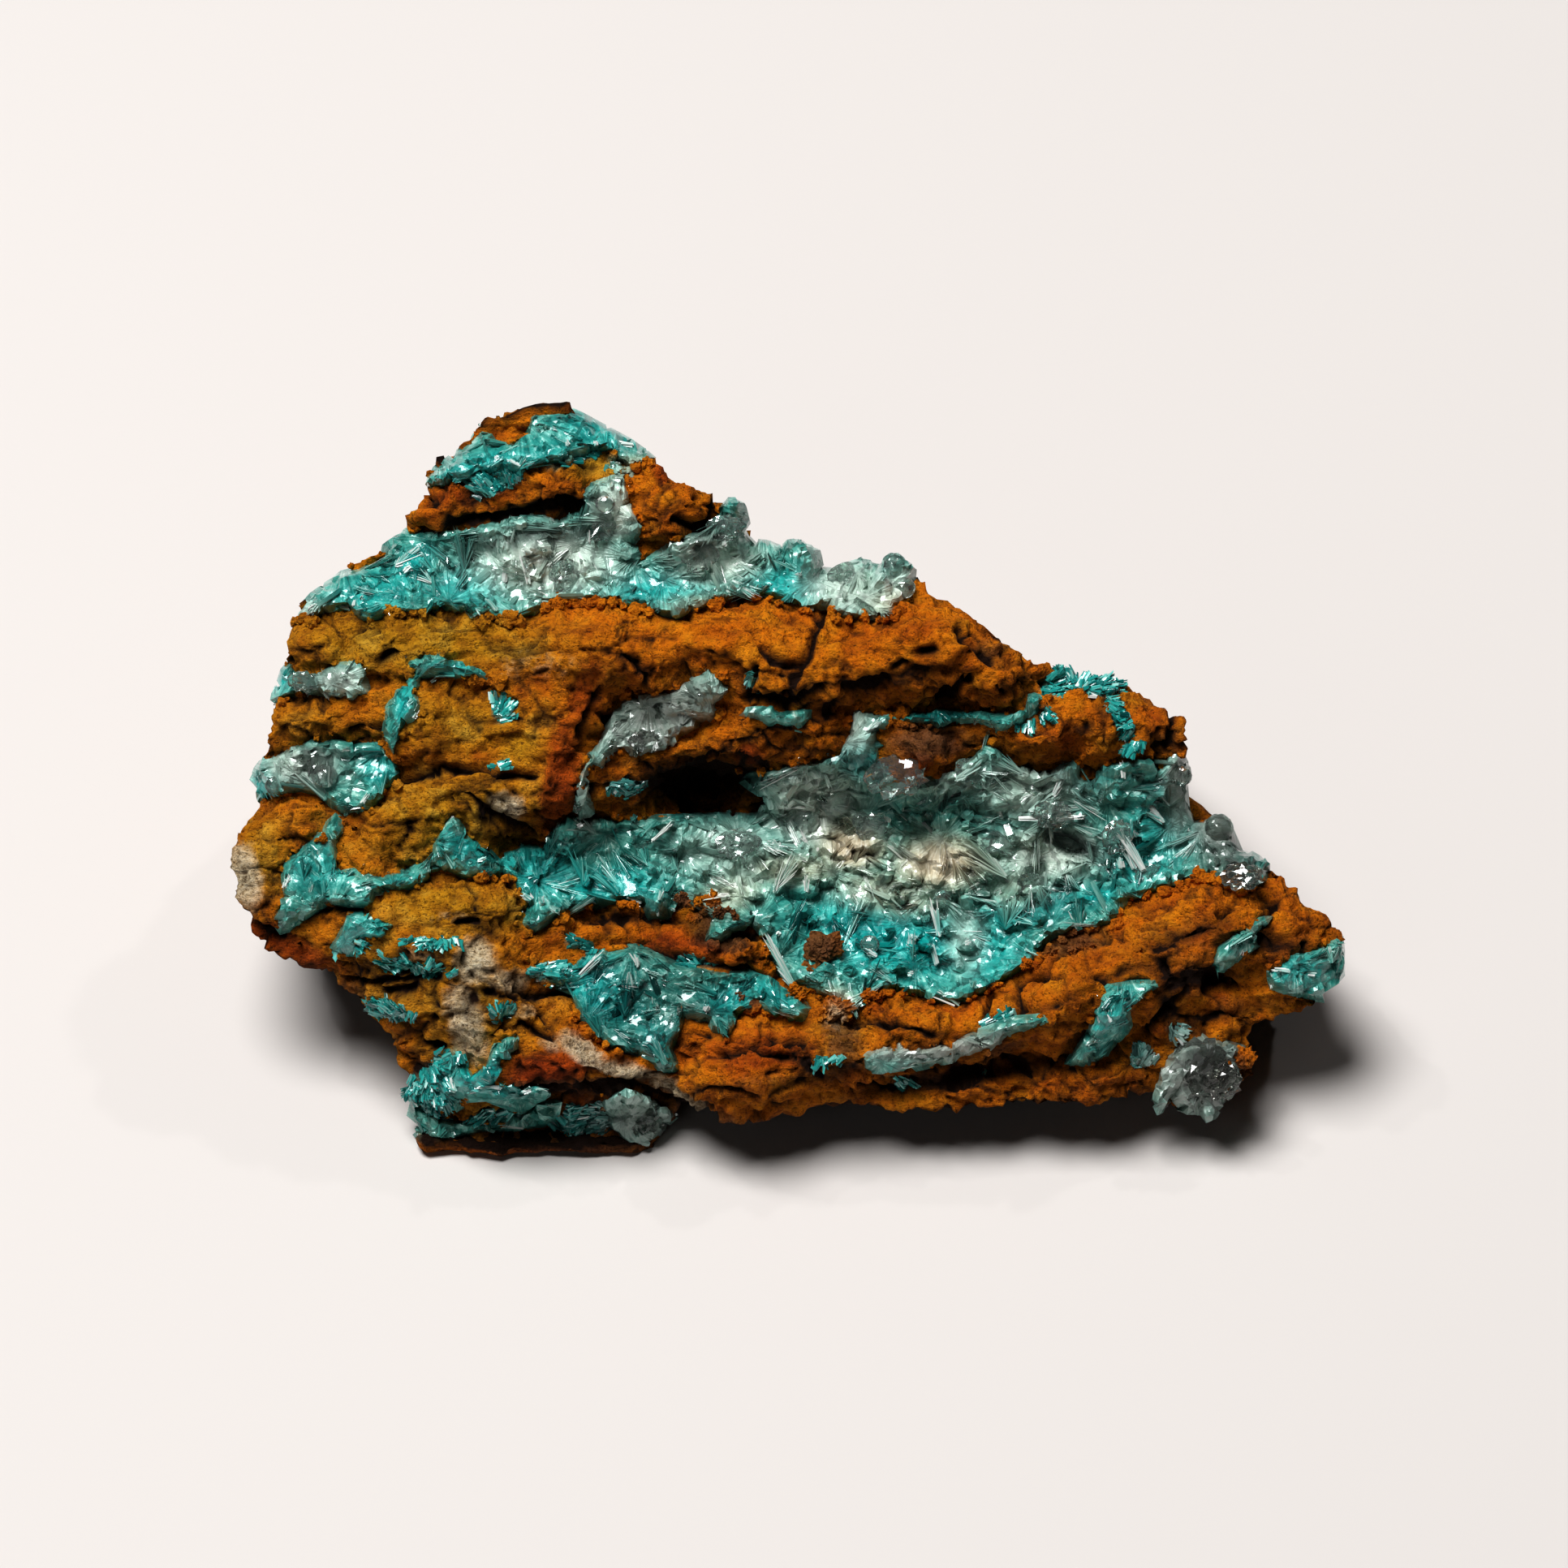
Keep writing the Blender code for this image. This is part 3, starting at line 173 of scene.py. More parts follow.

# %% [markdown]
# The rock has come apart along thin cracks, black with shade. Each is kept as a line of places on the face
# with half its width, and how near a point lies to a line says both how far the crack sinks it and how dark it
# is painted: that darkness is painted shade, and the first line is the shadow under the peak's ledge.

# %% Where the rock is cracked
CRACK_LINES = (
    (0.35, (-20.7, 16.5), (-18.5, 16.9), (-16.0, 17.4), (-14.0, 17.6), (-12.4, 17.9)),
    (0.30, (-4.3, 18.4), (-4.5, 17.0), (-5.4, 16.2), (-6.6, 16.9)),
    (0.20, (-11.4, 6.5), (-11.9, 5.6), (-12.6, 3.8)),
    (0.25, (-1.5, 9.0), (-0.8, 8.4), (0.2, 7.9), (1.1, 8.1)),
    (0.25, (2.1, 11.6), (1.6, 9.5), (1.1, 8.4), (-0.2, 5.9)),
    (0.25, (-2.6, 5.9), (-1.2, 5.6), (0.2, 5.4), (2.1, 6.4)),
    (0.15, (-2.1, 8.0), (-2.4, 6.8), (-2.8, 5.9)),
    (0.20, (-26.9, 3.8), (-25.8, 4.4), (-25.0, 4.3)),
    (0.20, (-23.9, 1.1), (-22.5, 1.2), (-21.1, 1.8), (-18.5, 1.6), (-15.9, 1.1)),
    (0.15, (-25.0, 8.4), (-23.9, 8.7)),
    (0.20, (-18.4, -1.1), (-16.9, -2.0), (-15.8, -2.4)),
    (0.15, (-19.9, 0.1), (-18.6, -1.1)),
    (0.25, (-8.8, -9.4), (-7.0, -9.8), (-5.1, -10.2), (-3.5, -10.8), (-0.6, -11.3)),
    (0.40, (4.0, 6.4), (5.8, 6.9)),
    (0.25, (6.5, 7.8), (7.1, 8.0)),
    (0.35, (9.7, 5.9), (10.4, 6.5), (11.0, 7.1)),
    (0.35, (8.2, 8.8), (9.0, 8.9)),
    (0.25, (10.6, 10.4), (11.1, 9.6), (11.9, 9.2), (12.6, 8.4)),
    (0.20, (15.9, 7.2), (16.1, 6.8)),
    (0.20, (23.7, 5.4), (24.0, 4.6), (23.6, 3.0)),
    (0.20, (22.9, 2.0), (22.5, 0.6)),
    (0.20, (26.5, -7.2), (27.6, -6.6)),
    (0.25, (29.2, -7.8), (30.2, -6.6)),
    (0.20, (22.8, -10.0), (23.2, -10.9)),
    (0.15, (19.1, -10.9), (19.8, -11.6), (22.0, -11.2)),
    (0.20, (23.5, -13.2), (24.6, -12.1)),
    (0.15, (22.2, -14.8), (23.1, -13.5), (23.8, -13.4)),
    (0.15, (14.1, -11.2), (14.2, -12.8), (13.8, -13.5), (11.8, -14.4), (10.5, -15.0)),
    (0.15, (12.2, -13.5), (12.6, -12.2)),
    (0.25, (14.2, -11.2), (15.8, -10.6)),
    (0.15, (5.1, -13.5), (6.0, -14.1), (6.8, -13.9), (9.0, -14.7)),
    (0.15, (4.6, -17.9), (6.0, -18.2), (7.1, -18.1)),
    (0.20, (-4.5, -15.9), (-2.2, -15.1), (-0.5, -14.9), (1.0, -15.0)),
    (0.20, (-2.2, -15.2), (-1.5, -15.8), (1.0, -16.3), (2.0, -17.5)),
    (0.15, (-5.0, -18.0), (-3.5, -18.3), (-2.0, -18.5)),
    (0.25, (-18.0, -17.9), (-16.0, -18.3), (-11.8, -18.1), (-10.0, -17.8), (-7.0, -19.1), (-6.0, -19.6)),
    (0.15, (-16.5, -14.1), (-14.5, -14.7)),
    (0.20, (-18.5, -12.1), (-16.5, -12.4)),
    (0.25, (-25.1, -12.3), (-23.1, -12.1)),
    (0.15, (-25.0, -10.8), (-23.2, -11.1), (-21.5, -10.9)),
    (0.15, (-27.5, -11.3), (-26.5, -11.6), (-22.5, -11.5)),
    (0.15, (-20.2, -7.7), (-19.0, -7.8)),
    (0.15, (-31.2, -8.5), (-29.5, -7.4), (-28.0, -6.9), (-26.5, -6.8)),
    (0.20, (-33.5, -7.3), (-32.5, -8.2), (-31.2, -8.8)),
    (0.15, (-22.5, -15.2), (-21.2, -15.5)),
    (0.20, (-3.2, -7.9), (-1.5, -8.1)),
    (0.20, (-16.5, -11.8), (-12.8, -12.1)),
    (0.30, (14.8, -9.2), (15.5, -8.9)),
    (0.15, (-9.8, 8.4), (-8.5, 7.5), (-8.7, 6.8)),
    (0.15, (-22.5, 19.0), (-21.9, 18.4), (-22.2, 18.0)),
)


def line_strength(line, places):
    """How nearly each place lies on a crack, from 0 to 1. A line is (half width, (u, v), (u, v), ...)."""
    half_width, *stops = line
    nearest = np.full(len(places), np.inf)
    for start, end in zip(stops, stops[1:]):
        run = np.subtract(end, start)
        share = np.clip((places[:, :2] - start) @ run / run.dot(run), 0, 1)
        nearest = np.minimum(nearest, np.linalg.norm(places[:, :2] - start - share[:, None] * run, axis=1))
    return np.exp(-((nearest / max(half_width, 0.17)) ** 2))


# Dark hollows are sunk further into the rock, and their colour is also darkened as painted shade.
DARK_HOLLOWS = (
    (-5.6, 0.7, 4.6, 1.5, 0, 1.0), (11.6, -17.2, 5.0, 0.7, 12, 0.9), (24.4, -8.4, 3.2, 0.6, 15, 0.9), (23.2, -11.4, 0.8, 2.0, 10, 0.7),
    (-14.4, 17.6, 5.0, 0.4, 8, 0.9), (-9.6, -7.4, 4.6, 0.35, -4, 0.8), (-12.4, -1.9, 0.5, 0.8, 0, 0.7), (7.4, 7.2, 3.0, 0.5, 12, 0.6),
    (18.0, -15.6, 1.6, 0.6, 30, 0.6), (-12.0, -18.8, 4.0, 0.35, -4, 0.6), (5.0, -13.9, 3.6, 0.3, -4, 0.6), (29.6, -9.0, 2.6, 0.7, -6, 0.9),
    (25.4, -11.2, 2.0, 0.9, 0, 0.9), (23.4, -13.0, 0.6, 1.6, 20, 0.8), (27.4, -13.4, 2.6, 0.4, 14, 0.7),
    (8.0, -18.0, 4.0, 0.5, 8, 0.7), (15.6, -16.6, 2.6, 0.5, 16, 0.7), (3.4, -17.0, 2.2, 0.6, 20, 0.6),
    (20.4, -10.8, 2.4, 0.35, 14, 0.7), (16.8, -12.6, 2.2, 0.35, 20, 0.6), (0.6, 4.6, 3.0, 0.4, 16, 0.6),
    (22.0, 6.6, 1.6, 0.3, -40, 0.4), (20.6, 4.2, 0.3, 1.4, 10, 0.4), (23.0, 3.0, 0.3, 1.4, 0, 0.4),
)
print(len(CRACK_LINES), "cracks and", len(DARK_HOLLOWS), "dark hollows")

# %% [markdown]
# The rock's surface is broken, crumbly and pitted down to a quarter of a millimetre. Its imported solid
# has the ledges and hollows. A copy of that solid is cut finer and finer, first everywhere, then only
# where it shows, and left coarse under the crusts. Then noise moves each point: creased lumps for the
# crumbly layers, small grains, and round pits. Noise keeps this repeatable with no hand sculpting.

# %% Cut the rock fine where it shows
ROCK_EDGE_MM = 0.26
HIDDEN_EDGE_MM = 1.2
BACK_EDGE_MM = 0.62

crust_points, crust_faces = [], []
for name in CRUSTS:
    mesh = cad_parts[name].data
    start = len(crust_points)
    crust_points += [tuple(v.co) for v in mesh.vertices]
    crust_faces += [tuple(start + i for i in p.vertices) for p in mesh.polygons]
crust_tree = BVHTree.FromPolygons(crust_points, crust_faces)


def is_under_a_crust(spot):
    """True where a packed crust lies over this point of the rock."""
    return crust_tree.ray_cast(spot, OUTWARD, 6 * MM)[0] is not None


def wanted_edge(middle, normal):
    """The longest edge, in mm, that the rock may keep at this point."""
    if is_under_a_crust(middle):
        return HIDDEN_EDGE_MM
    return ROCK_EDGE_MM if normal.dot(OUTWARD) > 0.0 else BACK_EDGE_MM


def drop_folded_faces(bm):
    """Delete faces that lie doubled on the same corners, which the cutting leaves on a few slivers."""
    same_corners = {}
    for face in bm.faces:
        same_corners.setdefault(frozenset(face.verts), []).append(face)
    folded = []
    for faces in same_corners.values():
        folded += faces[len(faces) % 2:]
    bmesh.ops.delete(bm, geom=folded, context="FACES")


rock = bmesh.new()
rock.from_mesh(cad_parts["limonite_matrix"].data)
bmesh.ops.remove_doubles(rock, verts=rock.verts, dist=0.001 * MM)
for round_number in range(6):
    rock.normal_update()
    long_edges = []
    for edge in rock.edges:
        middle = (edge.verts[0].co + edge.verts[1].co) / 2
        normal = edge.verts[0].normal + edge.verts[1].normal
        if edge.calc_length() > 1.35 * MM * wanted_edge(middle, normal):
            long_edges.append(edge)
    if not long_edges:
        break
    bmesh.ops.subdivide_edges(rock, edges=long_edges, cuts=1, use_grid_fill=True)
    bmesh.ops.triangulate(rock, faces=[f for f in rock.faces if len(f.verts) > 3])
    if round_number < 2:
        free = [v for v in rock.verts if v.co.z > 0.02 * MM]
        bmesh.ops.smooth_vert(rock, verts=free, factor=0.4, use_axis_x=True, use_axis_y=True, use_axis_z=True)
drop_folded_faces(rock)
print("the rock has", len(rock.faces), "faces")

# %% [markdown]
# Noise values are worked out from each point's place on the face, stretched along u, because the rock is
# layered that way. Billowed noise, whose creases point inwards, gives lumps with sharp cracks between
# them. The same numbers also darken the colours as painted shade: creases, pits, cracks and hollows are
# painted dark, and so are faces that look down and the underside.

# %% Crumble the rock
LAYER_MM = 0.22
CRUMB_MM = 0.13
FACET_SHARE = 0.26
PIT_MM = 0.4
CRACK_MM = 0.9
JOINT_MM = 0.3
DROOP_MM = 0.45
HOLLOW_MM = 0.6
BASE_FADE_MM = 1.2
FRONT_FROM_MM = -8.0


def facet_height(place, size):
    """The height, in sizes, of a broken surface: each cell is a flat facet with its own tilt."""
    centre = noise.voronoi(place / size)[1][0]
    tilt = noise.cell_vector(centre * 9) * 2 - Vector((1, 1, 1))
    return (place / size - centre).dot(tilt) + 0.35 * tilt.z


def joint_strength(place, size):
    """Near 1 along the borders of cells of this size, where blocks of rock part."""
    near, far = noise.voronoi(place / size)[0][:2]
    return max(0.0, 1 - (far - near) / 0.12)


def evened(value, middle, spread):
    return (value - middle) / spread


rock.normal_update()
places = to_face([v.co for v in rock.verts])
normals = np.array([v.normal for v in rock.verts])
layers, crumbs, facets, pits, joints, droops = np.zeros((6, len(places)))
wobble = np.zeros((len(places), 3))
for i, (u, v, w) in enumerate(places):
    spot = Vector((u, v, w))
    warp = noise.noise_vector(spot / 1.9) * 0.4
    wobble[i] = warp * 0.5
    layers[i] = evened(noise.turbulence(Vector((u / 4.0, v / 1.7, w / 2.6)) + warp, 3, True), 0.5, 0.3)
    crumbs[i] = evened(noise.turbulence(Vector((u / 0.9, v / 0.75, w / 0.9)) - warp, 2, True), 0.45, 0.3)
    facets[i] = facet_height(spot + warp, 1.4)
    cell = noise.voronoi(Vector((u, v * 1.25, w)) / 1.1)[0][0]
    pits[i] = max(0.0, 1 - cell / 0.34) * (noise.noise(spot / 2.6 + Vector((9, 5, 2))) > 0.04)
    parted = noise.noise(spot / 4.0 + Vector((2, 8, 4))) > -0.05
    joints[i] = parted * joint_strength(Vector((u * 0.8, v * 1.2, w)) + warp * 2, 2.6)
    droops[i] = max(0.0, noise.noise(Vector((u / 3.0, v / 0.9, w / 3.0)) + Vector((3, 1, 7))))
in_front = 1 / (1 + np.exp(-(places[:, 2] - FRONT_FROM_MM) / 1.5))
cracks = in_front * np.max([line_strength(line, places + wobble) for line in CRACK_LINES], axis=0)
depth = LAYER_MM * layers + CRUMB_MM * crumbs + FACET_SHARE * facets
hollows = in_front * mask(DARK_HOLLOWS, places)
depth -= PIT_MM * pits + CRACK_MM * cracks + JOINT_MM * joints + HOLLOW_MM * hollows
hidden = np.array([is_under_a_crust(v.co) for v in rock.verts])
on_base = np.array([v.co.z < 0.02 * MM for v in rock.verts])
to_the_top = np.array([HIGHEST[2] - v.co.z for v in rock.verts]) / MM
depth = np.where(normals[:, 2] > 0, np.minimum(depth, 0.7 * to_the_top), depth)
depth[hidden] = np.minimum(depth[hidden], -0.1)
depth[on_base] = 0.0
heights = np.array([v.co.z for v in rock.verts]) / MM
depth *= np.clip(heights / BASE_FADE_MM, 0, 1)
shown = ~(on_base | hidden)
moved = np.array([v.co for v in rock.verts]) + normals * (depth * MM)[:, None]
moved -= np.array(UPWARD) * (DROOP_MM * MM * droops * shown)[:, None]
moved = np.clip(moved, LOWEST + (0.00005, 0.00005, 0), HIGHEST - 0.00005)
for vert, spot in zip(rock.verts, moved):
    vert.co = spot
# Painted shade: the colour is darkened in the creases of the layers and crumbs, in pits, cracks, joints and dark
# hollows, on faces that look down the face, and most on the underside.
deep = np.clip(-0.5 - 0.6 * layers, 0, 1) + 0.5 * np.clip(-0.6 - 0.9 * crumbs, 0, 1)
deep += 0.9 * pits + 1.3 * cracks + 0.8 * joints + 1.1 * hollows
deep += 0.3 * np.clip(-normals @ np.array(UPWARD), 0, 1)
deep += np.clip(-1.6 * normals[:, 2] - 0.6, 0, 0.85)
print("the crumbling moved the surface by up to", round(float(np.abs(depth).max()), 2), "mm")

# %% Keep the rock as a piece with its masks
rock_mesh = bpy.data.meshes.new("rock_surface")
rock.to_mesh(rock_mesh)
rock.free()
rock_mesh.shade_smooth()
rock_piece = bpy.data.objects.new("rock_surface", rock_mesh)
bpy.context.scene.collection.objects.link(rock_piece)


def keep_mask(mesh, name, values):
    mesh.attributes.new(name, "FLOAT", "POINT").data.foreach_set("value", np.asarray(values, np.float32))


def keep_rock_masks(mesh, places, deep):
    """Each earth's mask on the front, and round the back and below a plain brown mix darkened with painted shade, which
    stands in for the shadow under the rock.
    """
    front = 1 / (1 + np.exp(-(places[:, 2] + 7.0) / 1.5))
    keep_mask(mesh, "mustard", front * mask(MUSTARD, places) + (1 - front) * 0.35)
    keep_mask(mesh, "red", front * mask(RED, places) + (1 - front) * 0.15)
    keep_mask(mesh, "cream", front * mask(CREAM, places))
    keep_mask(mesh, "umber", front * mask(UMBER, places) + (1 - front) * 0.55)
    keep_mask(mesh, "teal", front * mask(TEAL_STAIN, places))
    keep_mask(mesh, "deep", deep + 0.4 * (1 - front))


keep_rock_masks(rock_mesh, places, deep)
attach(rock_piece, BODY)
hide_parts("limonite_matrix")

# %% [markdown]
# The rock's material mixes its earths by the masks, broken up by noise so that no patch has a clean rim.
# Fine noise in the colour and the bump gives the dry grain, and long fine seams are painted darker in their
# crevices as painted shade and lighter on their ridges as painted highlight. It is matte, so roughness stays
# near one.

# %% A material with a short way to add nodes
def new_material(name):
    material = bpy.data.materials.new(name)
    material.use_nodes = True
    return material, material.node_tree.nodes["Principled BSDF"]


def add_node(material, kind, **settings):
    node = material.node_tree.nodes.new(kind)
    for key, value in settings.items():
        if key in node.inputs:
            node.inputs[key].default_value = value
        else:
            setattr(node, key, value)
    return node


def link(material, source, target):
    material.node_tree.links.new(source, target)


def noise_of(material, scale, detail=4.0, roughness=0.6, stretch=(1, 1, 1), kind="ShaderNodeTexNoise"):
    """A noise texture on the piece's own coordinates, in waves of 1/scale millimetres."""
    coordinates = add_node(material, "ShaderNodeTexCoord")
    mapping = add_node(material, "ShaderNodeMapping")
    mapping.inputs["Scale"].default_value = [1000 * s for s in stretch]
    link(material, coordinates.outputs["Object"], mapping.inputs["Vector"])
    texture = add_node(material, kind)
    texture.inputs["Scale"].default_value = scale
    if kind == "ShaderNodeTexNoise":
        texture.inputs["Detail"].default_value = detail
        texture.inputs["Roughness"].default_value = roughness
    link(material, mapping.outputs["Vector"], texture.inputs["Vector"])
    return texture.outputs[0]


def math_of(material, operation, first, second, clamp=False):
    node = add_node(material, "ShaderNodeMath", operation=operation, use_clamp=clamp)
    for socket, value in zip(node.inputs, (first, second)):
        if isinstance(value, (int, float)):
            socket.default_value = value
        else:
            link(material, value, socket)
    return node.outputs[0]


def ramp_of(material, source, stops):
    """A colour ramp: stops are (place, (r, g, b))."""
    node = add_node(material, "ShaderNodeValToRGB")
    while len(node.color_ramp.elements) < len(stops):
        node.color_ramp.elements.new(0.5)
    for element, (place, colour) in zip(node.color_ramp.elements, stops):
        element.position = place
        element.color = (*colour, 1)
    link(material, source, node.inputs["Fac"])
    return node.outputs["Color"]


def mix_of(material, share, first, second, blend_type="MIX"):
    node = add_node(material, "ShaderNodeMix", data_type="RGBA", blend_type=blend_type)
    for index, value in ((0, share), (6, first), (7, second)):
        if isinstance(value, (int, float)):
            node.inputs[index].default_value = value
        elif isinstance(value, tuple):
            node.inputs[index].default_value = (*value, 1)
        else:
            link(material, value, node.inputs[index])
    return node.outputs[2]


def attribute_of(material, name):
    return add_node(material, "ShaderNodeAttribute", attribute_name=name).outputs["Fac"]


def bump_of(material, height, strength, distance):
    node = add_node(material, "ShaderNodeBump", Strength=strength, Distance=distance)
    link(material, height, node.inputs["Height"])
    return node.outputs["Normal"]


# %% The rock's material
limonite, shader = new_material("limonite_grain")
patches = noise_of(limonite, 0.45, 5, 0.62)
grain = noise_of(limonite, 3.4, 5, 0.75)
dots = noise_of(limonite, 5.5, 2, 0.6)
speckle = noise_of(limonite, 1.3, 4, 0.6)
seams = noise_of(limonite, 1.3, 5, 0.7, stretch=(0.3, 1.1, 1.5))


def ragged_mask(name, swing=0.9):
    off = math_of(limonite, "MULTIPLY", math_of(limonite, "SUBTRACT", speckle, 0.5), swing)
    sharp = math_of(limonite, "ADD", attribute_of(limonite, name), off)
    narrow = math_of(limonite, "MULTIPLY", math_of(limonite, "SUBTRACT", sharp, 0.32), 3.0, clamp=True)
    return math_of(limonite, "MULTIPLY", narrow, attribute_of(limonite, name), clamp=True)


orange = ramp_of(limonite, patches, [(0.3, (0.58, 0.14, 0.004)), (0.5, (0.86, 0.275, 0.006)), (0.72, (0.96, 0.40, 0.016))])
mustard = ramp_of(limonite, patches, [(0.3, (0.46, 0.19, 0.008)), (0.5, (0.74, 0.39, 0.02)), (0.68, (0.86, 0.56, 0.08)), (0.8, (0.90, 0.72, 0.38))])
red = ramp_of(limonite, patches, [(0.3, (0.34, 0.045, 0.006)), (0.6, (0.66, 0.115, 0.008))])
cream = ramp_of(limonite, grain, [(0.3, (0.72, 0.57, 0.35)), (0.6, (0.96, 0.87, 0.67))])
umber = ramp_of(limonite, grain, [(0.3, (0.07, 0.03, 0.012)), (0.65, (0.27, 0.15, 0.085))])
stain = ramp_of(limonite, grain, [(0.35, (0.0, 0.26, 0.26)), (0.62, (0.12, 0.66, 0.63))])
colour = mix_of(limonite, attribute_of(limonite, "mustard"), orange, mustard)
colour = mix_of(limonite, ragged_mask("red"), colour, red)
colour = mix_of(limonite, ragged_mask("umber"), colour, umber)
colour = mix_of(limonite, ragged_mask("cream"), colour, cream)
colour = mix_of(limonite, ragged_mask("teal"), colour, stain)
grainy = ramp_of(limonite, grain, [(0.33, (0.25, 0.2, 0.16)), (0.44, (0.92, 0.9, 0.86)), (0.6, (1, 1, 1))])
colour = mix_of(limonite, 0.85, colour, grainy, "MULTIPLY")
dotted = ramp_of(limonite, dots, [(0.31, (0.2, 0.16, 0.13)), (0.41, (0.95, 0.93, 0.9)), (0.7, (1, 1, 1))])
colour = mix_of(limonite, 0.8, colour, dotted, "MULTIPLY")
# Painted shade and highlight: the seams darken the colour in their crevices and lighten it on their ridges.
seamed = ramp_of(limonite, seams, [(0.36, (0.22, 0.17, 0.14)), (0.46, (0.95, 0.93, 0.9)), (0.6, (1, 1, 1)), (0.7, (1.25, 1.2, 1.1))])
colour = mix_of(limonite, 0.7, colour, seamed, "MULTIPLY")
# Painted shade: where that mask is high the colour goes almost black, in cracks, hollows and underneath.
painted_shade_share = math_of(limonite, "MULTIPLY", attribute_of(limonite, "deep"), 0.9, clamp=True)
colour = mix_of(limonite, painted_shade_share, colour, (0.025, 0.009, 0.004))
link(limonite, colour, shader.inputs["Base Color"])
shader.inputs["Roughness"].default_value = 0.9
shader.inputs["Specular IOR Level"].default_value = 0.2
flakes = noise_of(limonite, 2.2, stretch=(0.8, 1.3, 1), kind="ShaderNodeTexVoronoi")
relief = math_of(limonite, "ADD", grain, math_of(limonite, "MULTIPLY", dots, 0.5))
relief = math_of(limonite, "SUBTRACT", relief, math_of(limonite, "MULTIPLY", flakes, 0.4))
relief = math_of(limonite, "ADD", relief, math_of(limonite, "MULTIPLY", seams, 1.2))
link(limonite, bump_of(limonite, relief, 1.0, 0.00036), shader.inputs["Normal"])
rock_mesh.materials.append(limonite)

# %% [markdown]
# Each hollow's crust is a bed of intergrown crystals that dips under the rock at its rim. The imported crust
# is cut finer, swelled a little in its middle, sunk at its sides, and broken into small crystal faces.
# The sprays grow from it.

# %% The bed of one crust
BED_EDGE_MM = 0.3
FACET_MM = 1.3
FINE_FACET_MM = 0.6
TUCK_MM = 0.4
SINK_MM = 1.2
SWELL_MM = 0.3
SWELL_RIM_MM = 1.4
DIP_MM = 0.4
LOWER_DIP_MM = 0.9
DIP_RIM_MM = 0.5
SPREAD_MM = 0.3


CRUST_PITS = ((17.6, -3.1, 1.6, 0.55, -30, 2.2), (-3.0, 0.6, 2.4, 0.7, 0, 0.8), (12.6, -4.0, 1.2, 0.3, 20, 0.6))


def crust_reach(name):
    """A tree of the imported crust's faces that look out of the rock."""
    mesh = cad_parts[name].data
    outer = [tuple(p.vertices) for p in mesh.polygons if p.normal.dot(OUTWARD) > 0.1]
    return BVHTree.FromPolygons([v.co.copy() for v in mesh.vertices], outer)


def crust_bed(name):
    """The crust's body, evened out, cut finer and broken into small crystal faces."""
    bed = bmesh.new()
    bed.from_mesh(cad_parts[name].data)
    bmesh.ops.remove_doubles(bed, verts=bed.verts, dist=0.001 * MM)
    for _ in range(4):
        bed.normal_update()
        on_top = {v for v in bed.verts if v.normal.dot(OUTWARD) > -0.2}
        edges = [e for e in bed.edges if e.calc_length() > 1.4 * BED_EDGE_MM * MM and on_top.intersection(e.verts)]
        bmesh.ops.subdivide_edges(bed, edges=edges, cuts=1, use_grid_fill=True)
        bmesh.ops.triangulate(bed, faces=[f for f in bed.faces if len(f.verts) > 3])
        bed.normal_update()
        top = [v for v in bed.verts if v.normal.dot(OUTWARD) > 0.15]
        for _ in range(3):
            bmesh.ops.smooth_vert(bed, verts=top, factor=0.5, use_axis_x=True, use_axis_y=True, use_axis_z=True)
    drop_folded_faces(bed)
    bed.normal_update()
    rim = [v.co.copy() for v in bed.verts if abs(v.normal.dot(OUTWARD)) < 0.15]
    rim_tree = KDTree(len(rim))
    for number, spot in enumerate(rim):
        rim_tree.insert(spot, number)
    rim_tree.balance()
    moves = []
    for vert in bed.verts:
        facing = vert.normal.dot(OUTWARD)
        if facing > 0.15:
            spot = Vector(to_face([vert.co])[0])
            inside = rim_tree.find(vert.co)[2] / MM
            dip = DIP_MM + LOWER_DIP_MM * max(0.0, -vert.normal.dot(UPWARD))
            swell = SWELL_MM * (1 - math.exp(-inside / SWELL_RIM_MM)) - dip * math.exp(-inside / DIP_RIM_MM)
            relief = 0.24 * FACET_MM * facet_height(spot, FACET_MM)
            relief += 0.16 * FINE_FACET_MM * facet_height(spot, FINE_FACET_MM)
            spread = SPREAD_MM * math.exp(-inside / DIP_RIM_MM) * (vert.normal - OUTWARD * facing)
            swell -= mask(CRUST_PITS, np.array([spot]))[0]
            moves.append((vert, (OUTWARD * swell + vert.normal * relief + spread) * MM))
        elif facing > -0.8:
            sideways = (vert.normal - OUTWARD * facing).normalized()
            room = min(*(HIGHEST - vert.co), *(np.array(vert.co) - LOWEST)) / MM
            tuck = min(TUCK_MM, 0.5 * max(room, 0.0))
            moves.append((vert, (sideways * tuck - OUTWARD * SINK_MM) * MM))
    for vert, move in moves:
        vert.co += move
    bed.normal_update()
    return bed


# %% [markdown]
# The crystals stand on the bed where it looks out of the rock. Places for them are drawn at random over
# its faces, by area, each with the bed's own direction there.

# %% Draw places on a bed
def bed_arrays(bed):
    """The bed's points and triangles as arrays, in metres."""
    bed.verts.index_update()
    points = np.array([v.co for v in bed.verts])
    faces = np.array([[v.index for v in f.verts] for f in bed.faces])
    return points, faces


